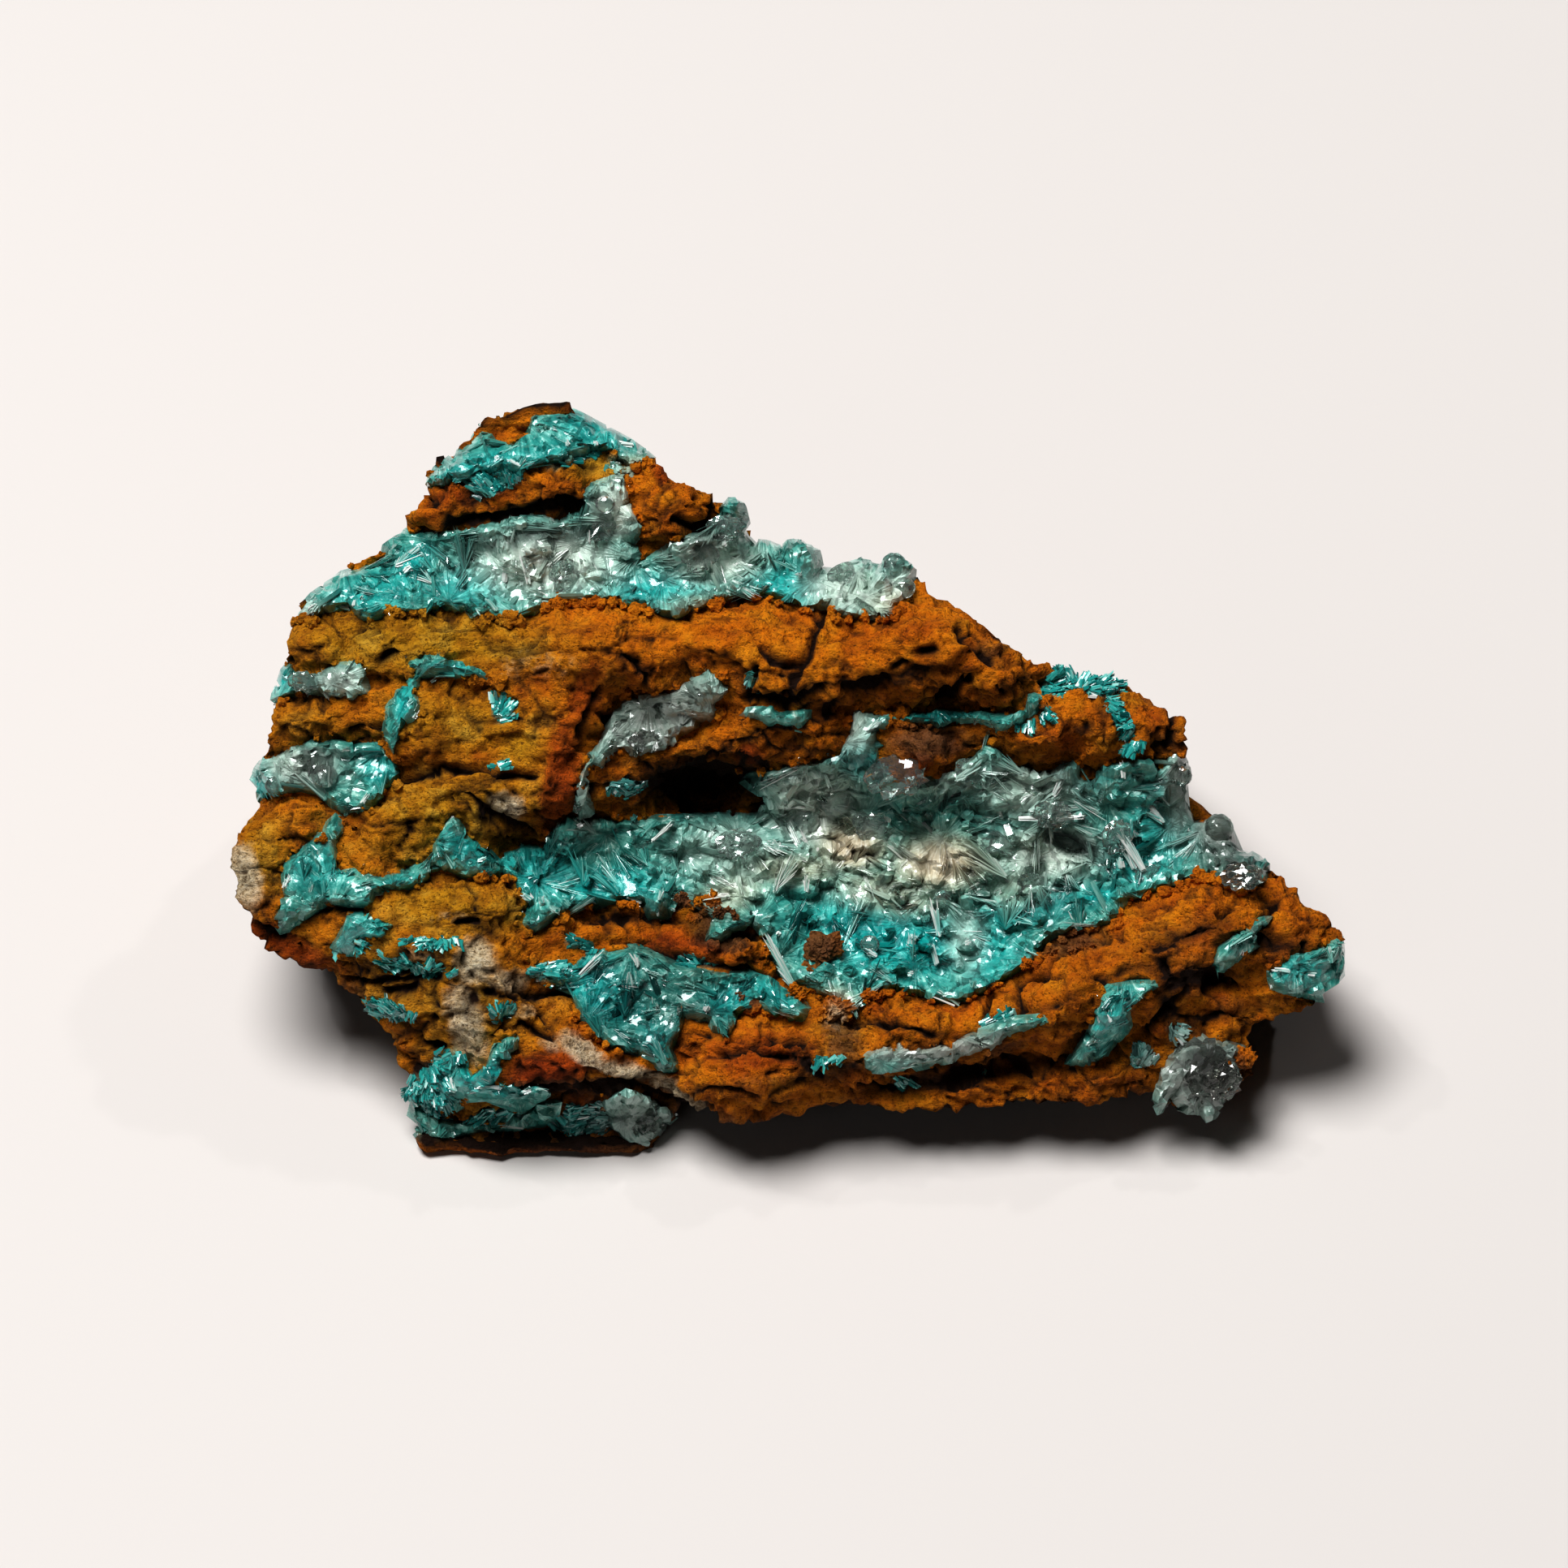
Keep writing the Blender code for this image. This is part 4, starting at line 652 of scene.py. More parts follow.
def places_on(points, faces, per_area, rng):
    """Random places on the faces that look outwards, in face axes, and the bed's normal at each."""
    corners = to_face(points)[faces]
    cross = np.cross(corners[:, 1] - corners[:, 0], corners[:, 2] - corners[:, 0])
    area = np.linalg.norm(cross, axis=1) / 2
    normal = cross / np.maximum(2 * area, 1e-9)[:, None]
    area = area * (normal[:, 2] > 0.2)
    count = max(3, int(per_area * area.sum()))
    picked = rng.choice(len(faces), count, p=area / area.sum())
    shares = rng.dirichlet((1, 1, 1), count)
    return (corners[picked] * shares[:, :, None]).sum(axis=1), normal[picked]


# %% [markdown]
# A lath of aurichalcite is a thin blade that narrows to a chisel tip; a hemimorphite crystal is a
# stouter six-sided one with a wedge on top. One of each is modelled with bmesh and one unit tall. Copies
# are then laid in the hollows by moving, turning and stretching their points all at once with numpy.

# %% One lath and one prism
def shape_arrays(bm):
    bmesh.ops.triangulate(bm, faces=bm.faces)
    bm.verts.index_update()
    points = np.array([v.co for v in bm.verts])
    faces = np.array([[v.index for v in f.verts] for f in bm.faces])
    bm.free()
    return points, faces


def make_lath():
    bm = bmesh.new()
    bmesh.ops.create_cone(bm, segments=4, radius1=0.5, radius2=0.34, depth=1.0, cap_ends=True, cap_tris=False)
    bmesh.ops.translate(bm, verts=bm.verts, vec=(0, 0, 0.5))
    tip = max(bm.verts, key=lambda v: (v.co.z, v.co.x))
    bmesh.ops.translate(bm, verts=[tip], vec=(-0.1, 0, 0.12))
    return shape_arrays(bm)


def make_prism():
    bm = bmesh.new()
    bmesh.ops.create_cone(bm, segments=6, radius1=0.46, radius2=0.5, depth=1.0, cap_ends=True, cap_tris=False)
    bmesh.ops.translate(bm, verts=bm.verts, vec=(0, 0, 0.5))
    top = max(bm.faces, key=lambda f: f.calc_center_median().z)
    tip = bmesh.ops.extrude_discrete_faces(bm, faces=[top])["faces"][0]
    bmesh.ops.scale(bm, verts=tip.verts, vec=(0.75, 0.25, 1.0))
    bmesh.ops.translate(bm, verts=tip.verts, vec=(0, 0, 0.3))
    bmesh.ops.scale(bm, verts=bm.verts, vec=(1, 1, 1 / 1.3))
    return shape_arrays(bm)


LATH, PRISM = make_lath(), make_prism()
print("triangles in a lath and in a prism:", len(LATH[1]), len(PRISM[1]))

# %% [markdown]
# Copies are laid with numpy. Each copy also gets its own coordinates in millimetres, across, through and
# along, moved by a random step. The materials read them, so streaks run along every crystal.

# %% Lay copies of a shape
def lay_copies(shape, feet, axes, broad, lengths, widths, thicknesses, rng):
    """Copies of a one-unit shape, each from its foot along its axis with its broad side turned to broad."""
    points, faces = shape
    axes = axes / np.linalg.norm(axes, axis=1)[:, None]
    across = np.cross(broad, axes)
    across /= np.linalg.norm(across, axis=1)[:, None] + 1e-12
    thick = np.cross(axes, across)
    sizes = np.stack([widths, thicknesses, lengths], axis=1)
    own = points[None] * sizes[:, None, :]
    laid = feet[:, None, :] + own @ np.stack([across, thick, axes], axis=1)
    own = own + rng.uniform(-50, 50, (len(feet), 1, 3))
    numbered = faces[None] + (np.arange(len(feet)) * len(points))[:, None, None]
    return laid.reshape(-1, 3), numbered.reshape(-1, 3), own.reshape(-1, 3)

# %% [markdown]
# Loose crumbs of limonite hang along the rims of the hollows and break their outlines, and a few bigger
# lumps sit among the crystals. A crumb is a small ball pushed in and out by noise. Each copy is turned
# and stretched its own way, and takes the rock's colours from its place.

# %% Crumbs along the rims
RIM_CRUMBS = 1100
RIM_REACH_MM = 0.5
LOWER_RIM_SHARE = 4
CRUMB_ROOM_MM = 0.9
LUMPS = (  # u, v, half width, half height, height over the crust
    (1.9, -9.5, 1.5, 1.2, 0.5), (-6.6, -6.4, 0.5, 0.4, 0.3), (-4.9, -6.5, 0.9, 0.6, 0.3), (-2.9, -12.5, 1.1, 0.7, 0.3),
    (0.6, -12.2, 0.8, 0.6, 0.2), (3.0, -13.1, 1.2, 0.9, 0.2), (-28.6, -2.7, 0.4, 0.3, 0.2), (28.0, -16.5, 1.0, 0.8, 0.3),
    (8.3, 2.1, 0.9, 0.6, 0.2), (5.4, -12.4, 0.8, 0.5, 0.1), (17.6, -9.4, 1.6, 0.5, 0.1), (14.8, -10.4, 0.7, 0.4, 0.1),
    (-5.8, -7.6, 0.8, 0.4, 0.2), (-3.6, -7.4, 0.9, 0.5, 0.2), (19.8, 4.4, 0.7, 0.9, 0.2), (17.6, 5.4, 0.6, 0.5, 0.2),
)


def make_crumb(subdivisions, roughness):
    """A lumpy ball of one unit's radius."""
    bm = bmesh.new()
    bmesh.ops.create_icosphere(bm, subdivisions=subdivisions, radius=1.0)
    for vert in bm.verts:
        vert.co *= 1 + roughness * noise.turbulence(vert.co * 1.7 + Vector((3, 4, 5)), 4, True) - 0.5 * roughness
    return shape_arrays(bm)


def add_crumbs(name, shape, feet, sizes, rng):
    axes, broad = rng.normal(size=(2, len(feet), 3))
    spots, faces, _ = lay_copies(shape, feet, axes, broad, *sizes, rng)
    mesh = bpy.data.meshes.new(name)
    mesh.from_pydata(np.clip(from_face(spots), LOWEST + 0.0002, HIGHEST - 0.00005).tolist(), [], faces.tolist())
    keep_rock_masks(mesh, spots, np.full(len(spots), 0.1))
    mesh.materials.append(limonite)
    piece = bpy.data.objects.new(name, mesh)
    bpy.context.scene.collection.objects.link(piece)
    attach(piece, BODY)
    print(name, "has", len(faces), "triangles")


rng = np.random.default_rng(5)
by_the_rim, below = [], []
for i, vert in enumerate(rock_mesh.vertices):
    room = min(*(HIGHEST - vert.co), *(np.array(vert.co) - LOWEST))
    if hidden[i] or vert.normal.dot(OUTWARD) < 0.1 or room < CRUMB_ROOM_MM * MM:
        continue
    nearest, crust_normal, _, _ = crust_tree.find_nearest(vert.co, RIM_REACH_MM * MM)
    if nearest:
        by_the_rim.append(i)
        below.append(max(0.0, -crust_normal.dot(UPWARD)))
by_the_rim, below = np.array(by_the_rim), np.array(below)
weights = 1 + LOWER_RIM_SHARE * below
picked = rng.choice(len(by_the_rim), RIM_CRUMBS, p=weights / weights.sum())
feet = to_face([rock_mesh.vertices[i].co for i in by_the_rim[picked]])
feet += np.array([(0, 0.2, 0.2)]) * below[picked, None] - (0, 0, 0.06)
radii = 0.12 + 0.22 * rng.beta(1.2, 3.0, RIM_CRUMBS) * rng.uniform(1, 2.4, (3, RIM_CRUMBS))
add_crumbs("rim_crumbs", make_crumb(2, 1.1), feet, radii, rng)

feet, radii = [], []
for u, v, half_width, half_height, rise in LUMPS:
    hit = crust_tree.ray_cast(Vector(from_face([(u, v, 25)])[0]), -OUTWARD)[0]
    top = to_face([hit])[0][2] if hit else 0.0
    for _ in range(7):
        shift = rng.normal(0, 0.4, 2) * (half_width, half_height)
        feet.append((u + shift[0], v + shift[1], top + rise - 0.3 + rng.normal(0, 0.1)))
        radii.append(rng.uniform(0.35, 0.7, 3) * half_height)
add_crumbs("vug_lumps", make_crumb(3, 0.9), np.array(feet), np.array(radii).T, rng)

# %% [markdown]
# Each hollow has its own recipe: how thickly its sprays stand, how long their laths are, and how many
# blades and clear prisms stand among them. Where in a hollow the crystals are bright teal, milky or clear
# grey is again a list of patches.

# %% Recipes for the hollows
RECIPES = {  # sprays per square mm, laths in one, lath mm, blades per square mm, prisms per square mm, their mm
    "peak_crystals": (0.9, 30, 1.7, 1.0, 0.5, 0.9),
    "upper_shelf_crystals": (0.8, 34, 2.4, 0.8, 0.5, 1.2),
    "left_notch_crystals": (0.9, 24, 1.4, 1.0, 0.6, 0.9),
    "left_channel_crystals": (1.0, 22, 1.1, 1.0, 0.3, 0.6),
    "left_pocket_crystals": (0.6, 26, 1.8, 0.9, 0.7, 1.1),
    "left_seam_crystals": (1.0, 26, 1.5, 1.2, 0.3, 0.7),
    "left_patch_crystals": (1.2, 20, 0.8, 1.2, 0.3, 0.5),
    "main_vug_crystals": (0.68, 33, 2.4, 0.8, 0.5, 1.2),
    "grey_pocket_crystals": (0.3, 22, 1.4, 0.8, 1.2, 1.1),
    "middle_seam_crystals": (1.0, 18, 0.8, 1.2, 0.4, 0.5),
    "lower_pocket_crystals": (0.9, 34, 2.0, 1.0, 0.3, 0.9),
    "foot_druse_crystals": (1.0, 26, 1.1, 1.2, 0.5, 0.7),
    "foot_seam_crystals": (0.9, 20, 0.8, 1.2, 0.4, 0.6),
    "foot_hollow_crystals": (0.5, 24, 1.2, 1.0, 0.8, 0.9),
    "right_seam_crystals": (0.9, 24, 1.2, 1.1, 0.4, 0.8),
    "right_end_crystals": (0.9, 26, 1.4, 1.0, 0.8, 1.0),
    "right_hollow_crystals": (0.9, 22, 1.1, 1.0, 0.5, 0.7),
    "grey_seam_crystals": (0.4, 18, 0.8, 1.0, 1.2, 0.6),
    "corner_cluster_crystals": (0.15, 20, 1.2, 0.9, 1.4, 1.3),
}
BRIGHT = (
    (-25.0, 12.6, 4.0, 1.6, 20, 0.7), (-23.0, 14.4, 1.6, 1.0, 40, 0.9), (-19.6, 12.8, 2.6, 1.6, 0, 0.8),
    (-18.8, 20.4, 3.0, 0.8, 20, 0.8), (-12.0, 22.4, 3.0, 1.2, -20, 0.7), (-8.0, 12.4, 3.6, 1.6, 0, 0.9),
    (0.0, 12.8, 2.6, 1.6, 0, 0.9), (-15.5, -4.6, 3.0, 2.2, 0, 0.8), (-11.0, -5.6, 3.6, 1.4, 0, 0.9),
    (6.6, -8.6, 6.6, 3.0, -8, 1.0), (12.0, -9.6, 3.0, 2.4, 0, 0.8), (16.6, -6.6, 3.6, 1.2, 14, 0.6),
    (9.0, 5.0, 3.0, 0.6, 0, 0.8), (14.0, 3.4, 1.4, 1.4, 0, 0.6), (4.6, 2.6, 2.4, 1.4, -20, 0.8),
    (21.6, -3.6, 2.4, 2.0, 60, 0.7), (19.0, -6.2, 1.6, 0.6, 10, 1.0), (-11.6, -12.2, 3.0, 2.0, -30, 0.9),
    (-8.0, -15.0, 1.6, 1.0, -30, 0.7), (-3.6, -12.6, 1.6, 1.2, 0, 0.9), (-1.0, -12.0, 2.0, 1.0, -30, 0.8),
    (-18.0, -17.4, 3.0, 1.4, 0, 0.9), (31.0, -10.8, 2.4, 1.2, 0, 0.6), (-19.6, -3.2, 2.2, 1.0, -20, 0.8),
    (-32.4, 0.4, 0.8, 1.4, 0, 0.8), (-25.0, 1.6, 1.2, 1.6, 40, 0.8), (-31.4, 7.2, 1.0, 0.8, 0, 0.9),
    (-23.6, 6.0, 0.6, 3.2, 0, 0.9), (-20.0, 7.8, 2.4, 0.5, 0, 0.7), (20.0, -13.6, 1.2, 2.4, -30, 0.7),
    (-4.0, -0.4, 3.0, 0.6, 0, 0.8), (-28.8, -4.6, 2.2, 1.6, 0, 0.6), (-23.4, -5.4, 2.4, 0.6, 0, 0.6),
    (14.4, -7.0, 4.0, 1.4, 10, 0.9), (17.6, 1.4, 3.0, 1.6, 0, 0.5), (23.4, -1.6, 2.2, 3.0, 0, 0.7),
    (19.0, 6.0, 4.0, 2.4, 0, 0.7), (-15.0, 20.4, 4.0, 2.0, 0, 0.6), (-24.0, -10.6, 5.0, 4.0, 0, 0.8), (-13.6, -10.2, 3.0, 1.4, 0, 0.8),
)
MILKY = (
    (4.0, -3.2, 2.2, 1.6, 0, 1.0), (9.4, -4.2, 3.0, 1.8, 0, 1.0), (6.4, -6.0, 4.0, 1.4, -10, 0.6),
    (0.6, -4.6, 3.0, 1.0, 0, 0.6), (-3.6, -6.2, 2.4, 1.2, 20, 0.5), (14.0, -6.0, 2.0, 1.2, 0, 0.4),
    (27.0, -4.6, 2.0, 1.0, -30, 0.2), (-9.4, 20.2, 1.4, 0.8, 0, 0.6), (-4.6, 11.6, 3.4, 0.8, 0, 0.5),
    (10.0, -15.4, 2.0, 0.3, 0, 0.3), (6.4, 11.6, 1.6, 1.0, 0, 0.5), (3.0, -12.8, 1.2, 1.0, 0, 0.7),
)
CLEAR = (
    (-14.8, 14.4, 4.6, 2.2, 0, 0.9), (-4.6, 14.6, 3.0, 1.6, 0, 0.9), (3.6, 12.8, 2.6, 1.8, 0, 0.8),
    (7.0, 12.6, 1.6, 1.4, 0, 0.8), (-10.6, 17.6, 1.6, 2.0, 0, 0.9), (-29.6, 11.0, 1.6, 0.8, 20, 0.6),
    (-30.0, 1.8, 2.4, 1.2, 0, 0.8), (-27.4, 7.0, 1.8, 1.0, 0, 0.8), (-7.6, 4.6, 4.6, 2.6, 20, 1.0),
    (1.6, -0.6, 3.0, 2.4, 0, 1.0), (4.0, 4.2, 1.4, 1.8, 0, 0.7), (9.8, 1.2, 4.0, 1.4, 0, 0.5),
    (16.0, -3.6, 3.2, 1.8, 0, 0.9), (15.0, 0.4, 3.4, 2.0, 0, 0.7), (24.4, 0.4, 1.2, 3.0, 0, 0.7),
    (26.8, -2.4, 2.0, 1.4, -30, 0.8), (-3.6, -3.4, 3.4, 2.0, 0, 0.5), (25.4, -17.0, 3.4, 3.0, 0, 1.0),
    (9.0, -15.4, 5.0, 1.0, 0, 1.0), (-9.0, -20.0, 2.4, 2.0, 0, 0.6), (11.0, -9.0, 1.2, 2.0, 0, 0.5),
    (32.0, -6.6, 1.6, 1.2, 0, 0.8), (-12.4, 0.0, 0.6, 2.4, 0, 0.7), (22.6, -8.8, 1.4, 0.6, 0, 0.8),
)
# These patches darken the crystals: mostly painted shade under the ledges, in pits and in the deepest hollows, and in a
# few places crystals that are darker themselves.
DIM_AND_SHADE = (
    (17.8, -2.9, 2.2, 0.5, -24, 1.0), (-5.2, 0.9, 5.0, 0.7, 0, 0.7), (24.6, 0.8, 1.2, 2.6, 0, 0.4), (26.0, -17.0, 3.6, 3.2, 0, 0.8),
    (-8.0, -14.0, 6.0, 4.0, 0, 0.45), (9.4, -15.4, 5.0, 1.2, 4, 0.55), (4.8, 1.9, 3.0, 0.5, -25, 0.3), (-12.6, -1.6, 0.7, 1.6, 0, 0.4), (-8.0, -7.3, 6.0, 0.4, -4, 0.4), (22.4, -9.0, 2.0, 0.5, 20, 0.6),
    (-14.6, 15.9, 5.4, 0.5, 6, 0.5), (-7.6, 4.4, 4.4, 2.4, 30, 0.6), (-29.0, 7.2, 2.0, 1.0, 0, 0.35), (-29.6, 1.4, 2.4, 1.4, 0, 0.35), (31.0, -8.8, 2.0, 0.8, 0, 0.5), (17.0, -6.9, 2.4, 0.6, 10, 0.4),
    (-9.4, -20.4, 3.4, 1.6, 0, 0.5), (27.2, -3.6, 2.8, 2.2, -40, 0.75), (-30.0, 8.8, 3.0, 0.5, 0, 0.4), (-29.0, 2.9, 3.4, 0.5, 0, 0.3), (-5.2, 15.4, 1.4, 1.0, 0, 0.5),
)
print(len(RECIPES), "recipes")

# %% [markdown]
# Besides the sheaves that fill a hollow, a few stand out: white or bright teal fans of laths and single
# broad blades. Each is listed by its heart, the way it points in degrees from the right, its laths' length
# and width, how far it opens, how many laths it has, and how white it is. The white of the whitest fans is
# painted highlight, standing in for glints along their laths.

# %% The fans that stand out
FANS = {
    "upper_shelf_crystals": (
        (-24.1, 14.2, 40, 2.6, 0.12, 28, 34, 0.95),
        (-23.2, 14.0, 200, 1.8, 0.12, 25, 20, 0.95),
        (-26.7, 11.7, 79, 2.6, 0.22, 4, 3, 1.0),
        (-27.1, 11.5, 165, 2.2, 0.3, 6, 3, 0.95),
        (-26.0, 11.5, 112, 2.6, 0.6, 26, 5, 0.45),
        (-15.8, 15.0, 161, 4.0, 0.5, 7, 4, 0.7),
        (-17.9, 11.4, 133, 3.6, 0.14, 9, 16, 0.8),
        (-17.4, 13.2, 93, 2.0, 0.16, 14, 12, 1.0),
        (-15.9, 13.1, 97, 1.7, 0.14, 10, 8, 1.0),
        (-14.0, 16.4, 172, 3.4, 0.6, 10, 6, 0.35),
        (-11.2, 17.0, 178, 3.0, 0.5, 9, 5, 0.3),
        (-11.8, 11.6, 54, 2.9, 0.1, 10, 14, 0.9),
        (-8.5, 12.0, 90, 2.4, 0.3, 60, 18, 0.6),
        (-8.0, 11.4, 18, 2.8, 0.14, 14, 18, 0.6),
        (1.5, 11.5, 98, 3.6, 0.4, 10, 8, 0.85),
        (-1.0, 11.8, 58, 3.0, 0.4, 18, 8, 0.5),
        (-3.9, 15.4, 62, 1.6, 0.2, 16, 5, 0.95),
        (-3.2, 14.2, 45, 1.0, 0.16, 10, 3, 1.0),
        (-12.2, 15.6, 100, 1.2, 0.2, 14, 4, 0.95),
        (-21.5, 11.8, 60, 3.2, 0.5, 40, 9, 0.5),
        (-13.5, 11.8, 150, 2.6, 0.12, 30, 18, 0.85),
        (3.5, 12.2, 95, 2.2, 0.6, 25, 5, 0.4),
    ),
    "peak_crystals": (
        (-16.4, 20.3, 156, 1.9, 0.18, 5, 3, 1.0),
        (-13.5, 21.6, 110, 1.4, 0.1, 30, 12, 0.9),
        (-11.8, 21.6, 84, 1.5, 0.18, 16, 8, 0.97),
        (-9.6, 21.6, 168, 1.2, 0.2, 12, 4, 1.0),
        (-20.5, 19.4, 30, 3.0, 0.4, 25, 7, 0.5),
        (-16.5, 20.2, 60, 2.6, 0.12, 45, 24, 0.6),
        (-15.1, 20.2, 100, 1.0, 0.12, 14, 4, 0.95),
        (-14.0, 21.0, 35, 2.8, 0.35, 30, 9, 0.55),
    ),
    "left_notch_crystals": (
        (-30.6, 5.6, 98, 2.2, 0.5, 14, 5, 0.55),
        (-26.9, 5.7, 131, 2.4, 0.25, 6, 4, 0.9),
        (-28.2, 6.0, 110, 1.8, 0.3, 30, 8, 0.8),
        (-29.5, 6.1, 95, 1.2, 0.2, 25, 6, 0.95),
    ),
    "left_channel_crystals": (
        (-22.5, 6.7, 14, 2.0, 0.2, 20, 9, 0.97),
        (-20.5, 7.4, 170, 2.6, 0.3, 18, 6, 0.55),
        (-23.2, 4.0, 85, 2.4, 0.4, 14, 5, 0.5),
        (-22.9, 4.8, 40, 1.0, 0.16, 20, 5, 0.97),
    ),
    "left_pocket_crystals": (
        (-31.2, 0.4, 100, 2.0, 0.5, 14, 4, 0.6),
        (-26.1, -0.4, 52, 2.9, 0.12, 6, 5, 0.97),
        (-28.5, -0.2, 110, 2.8, 1.2, 30, 5, 0.6),
        (-25.0, 0.2, 95, 2.6, 1.1, 24, 4, 0.55),
        (-28.8, 0.2, 70, 1.6, 0.1, 50, 20, 0.9),
        (-27.2, -1.2, 80, 1.8, 0.9, 24, 4, 0.65),
    ),
    "left_seam_crystals": (
        (-30.9, -5.6, 80, 1.0, 0.4, 20, 4, 1.0),
        (-20.5, -4.4, 100, 2.6, 0.5, 28, 8, 0.55),
        (-19.2, -5.2, 70, 1.6, 0.4, 40, 8, 0.8),
        (-28.5, -6.0, 60, 2.2, 0.7, 40, 7, 0.45),
        (-30.5, -8.0, 70, 2.2, 0.5, 24, 5, 0.6),
        (-19.0, -4.0, 20, 1.2, 0.2, 20, 5, 0.95),
        (-24.5, -5.9, 170, 2.4, 0.5, 20, 5, 0.6),
    ),
    "main_vug_crystals": (
        (-13.5, -6.8, 128, 4.0, 0.2, 16, 30, 0.55),
        (-15.1, -6.6, 96, 3.2, 0.16, 14, 22, 0.8),
        (-15.8, -6.4, 150, 1.6, 0.16, 30, 14, 0.95),
        (-16.0, -6.0, 110, 3.0, 0.14, 30, 26, 0.45),
        (-10.5, -6.0, 110, 3.4, 1.2, 40, 6, 0.6),
        (-12.5, -5.5, 80, 3.4, 1.0, 40, 6, 0.55),
        (-7.9, -6.4, 72, 4.9, 0.12, 13, 40, 0.75),
        (-8.3, -2.8, 42, 1.7, 0.3, 6, 3, 0.95),
        (-3.6, -6.2, 176, 2.2, 0.22, 14, 7, 1.0),
        (-4.6, -9.7, 56, 2.7, 0.3, 12, 5, 0.75),
        (1.5, -12.5, 128, 4.8, 0.5, 9, 8, 0.92),
        (-0.6, -8.5, 25, 1.6, 0.3, 20, 4, 0.9),
        (1.9, -3.4, 108, 1.5, 0.25, 8, 3, 1.0),
        (1.2, -5.9, 95, 1.0, 0.2, 14, 3, 1.0),
        (-0.8, -5.9, 62, 3.0, 0.1, 25, 26, 0.85),
        (9.4, -8.6, 101, 2.3, 0.35, 9, 4, 1.0),
        (11.1, -9.1, 70, 1.2, 0.25, 25, 5, 0.97),
        (20.6, -4.4, 100, 4.0, 0.16, 14, 30, 1.0),
        (22.0, -4.6, 118, 3.0, 0.16, 10, 22, 1.0),
        (23.2, -1.6, 140, 2.0, 0.16, 16, 18, 1.0),
        (14.4, -1.4, 2, 4.0, 0.2, 6, 14, 1.0),
        (9.2, -10.4, 98, 4.0, 0.2, 8, 16, 1.0),
        (0.4, -11.8, 128, 4.4, 0.18, 12, 26, 0.85),
        (16.8, -1.4, 178, 5.0, 0.2, 3, 5, 0.97),
        (17.0, -2.0, 172, 4.0, 0.3, 8, 5, 0.8),
        (16.5, 0.0, 60, 1.4, 0.12, 14, 8, 0.97),
        (21.6, -2.5, 128, 2.9, 0.14, 8, 12, 1.0),
        (21.4, -4.5, 113, 2.4, 0.12, 11, 14, 1.0),
        (22.9, -1.2, 152, 1.3, 0.4, 8, 4, 1.0),
        (23.6, -0.6, 132, 1.0, 0.1, 4, 2, 1.0),
        (24.9, -2.2, 103, 1.1, 0.12, 5, 2, 1.0),
        (20.7, 1.1, 95, 1.2, 0.25, 8, 3, 1.0),
        (26.5, -4.2, 94, 2.8, 0.14, 30, 34, 0.6),
        (27.5, -4.5, 140, 0.8, 0.2, 30, 5, 1.0),
        (23.6, -5.8, 130, 0.8, 0.4, 10, 2, 1.0),
        (16.5, -9.4, 165, 1.3, 0.4, 14, 3, 1.0),
        (14.7, -9.5, -28, 1.0, 0.12, 6, 3, 1.0),
        (6.5, -11.5, 150, 5.0, 0.6, 10, 8, 0.6),
        (8.0, -9.5, 165, 5.0, 0.7, 14, 8, 0.5),
        (11.5, -11.8, 100, 3.6, 0.7, 22, 8, 0.6),
        (4.5, -9.0, 170, 3.4, 0.5, 20, 8, 0.45),
        (13.5, -8.2, 90, 3.0, 0.3, 70, 20, 0.45),
        (18.0, -8.2, 92, 2.2, 0.3, 40, 16, 0.5),
        (5.5, -9.9, 150, 0.8, 0.3, 20, 3, 1.0),
        (7.5, -11.0, 5, 2.0, 0.12, 10, 5, 0.97),
        (10.5, -12.9, 150, 1.6, 0.25, 8, 4, 0.97),
        (13.5, -5.0, 140, 3.6, 1.0, 25, 6, 0.6),
        (15.0, -1.0, 20, 3.0, 0.8, 30, 6, 0.4),
        (-0.5, -3.5, 110, 3.4, 1.4, 40, 6, 0.8),
        (7.0, -1.0, 110, 2.4, 1.1, 30, 6, 0.7),
        (23.5, -5.0, 100, 2.6, 0.8, 50, 8, 0.5),
        (5.0, 1.0, 150, 2.6, 0.7, 30, 6, 0.35),
        (10.5, 1.0, 20, 2.8, 0.8, 20, 4, 0.6),
        (-1.5, -0.2, 150, 2.0, 0.7, 24, 4, 0.6),
        (-4.5, -2.0, 95, 1.6, 0.12, 40, 24, 0.5),
        (-9.5, -1.5, 75, 2.6, 0.4, 24, 6, 0.3),
        (-12.9, -1.9, 30, 1.2, 0.2, 30, 6, 0.97),
        (-9.0, -6.6, 160, 1.2, 0.2, 20, 6, 0.97),
    ),
    "lower_pocket_crystals": (
        (-13.4, -11.7, 43, 3.0, 0.5, 8, 4, 0.93),
        (-4.5, -12.2, 155, 4.6, 0.4, 14, 10, 0.6),
        (-3.6, -15.1, 124, 3.0, 0.4, 10, 5, 0.92),
        (-10.0, -13.5, 95, 3.4, 0.9, 40, 8, 0.3),
        (-7.5, -16.5, 115, 3.0, 0.9, 24, 6, 0.65),
        (-11.5, -14.8, 100, 3.4, 0.5, 30, 8, 0.45),
        (-9.2, -10.5, 100, 1.2, 0.14, 24, 8, 0.95),
        (-5.0, -13.2, 60, 1.4, 0.2, 40, 8, 0.97),
        (-14.0, -11.8, 10, 2.2, 0.5, 14, 4, 0.5),
        (-0.5, -13.0, 120, 2.6, 0.4, 30, 8, 0.4),
    ),
    "foot_druse_crystals": (
        (-20.5, -18.2, 120, 1.5, 0.2, 40, 10, 0.95),
        (-17.6, -18.0, 175, 1.4, 0.2, 10, 5, 1.0),
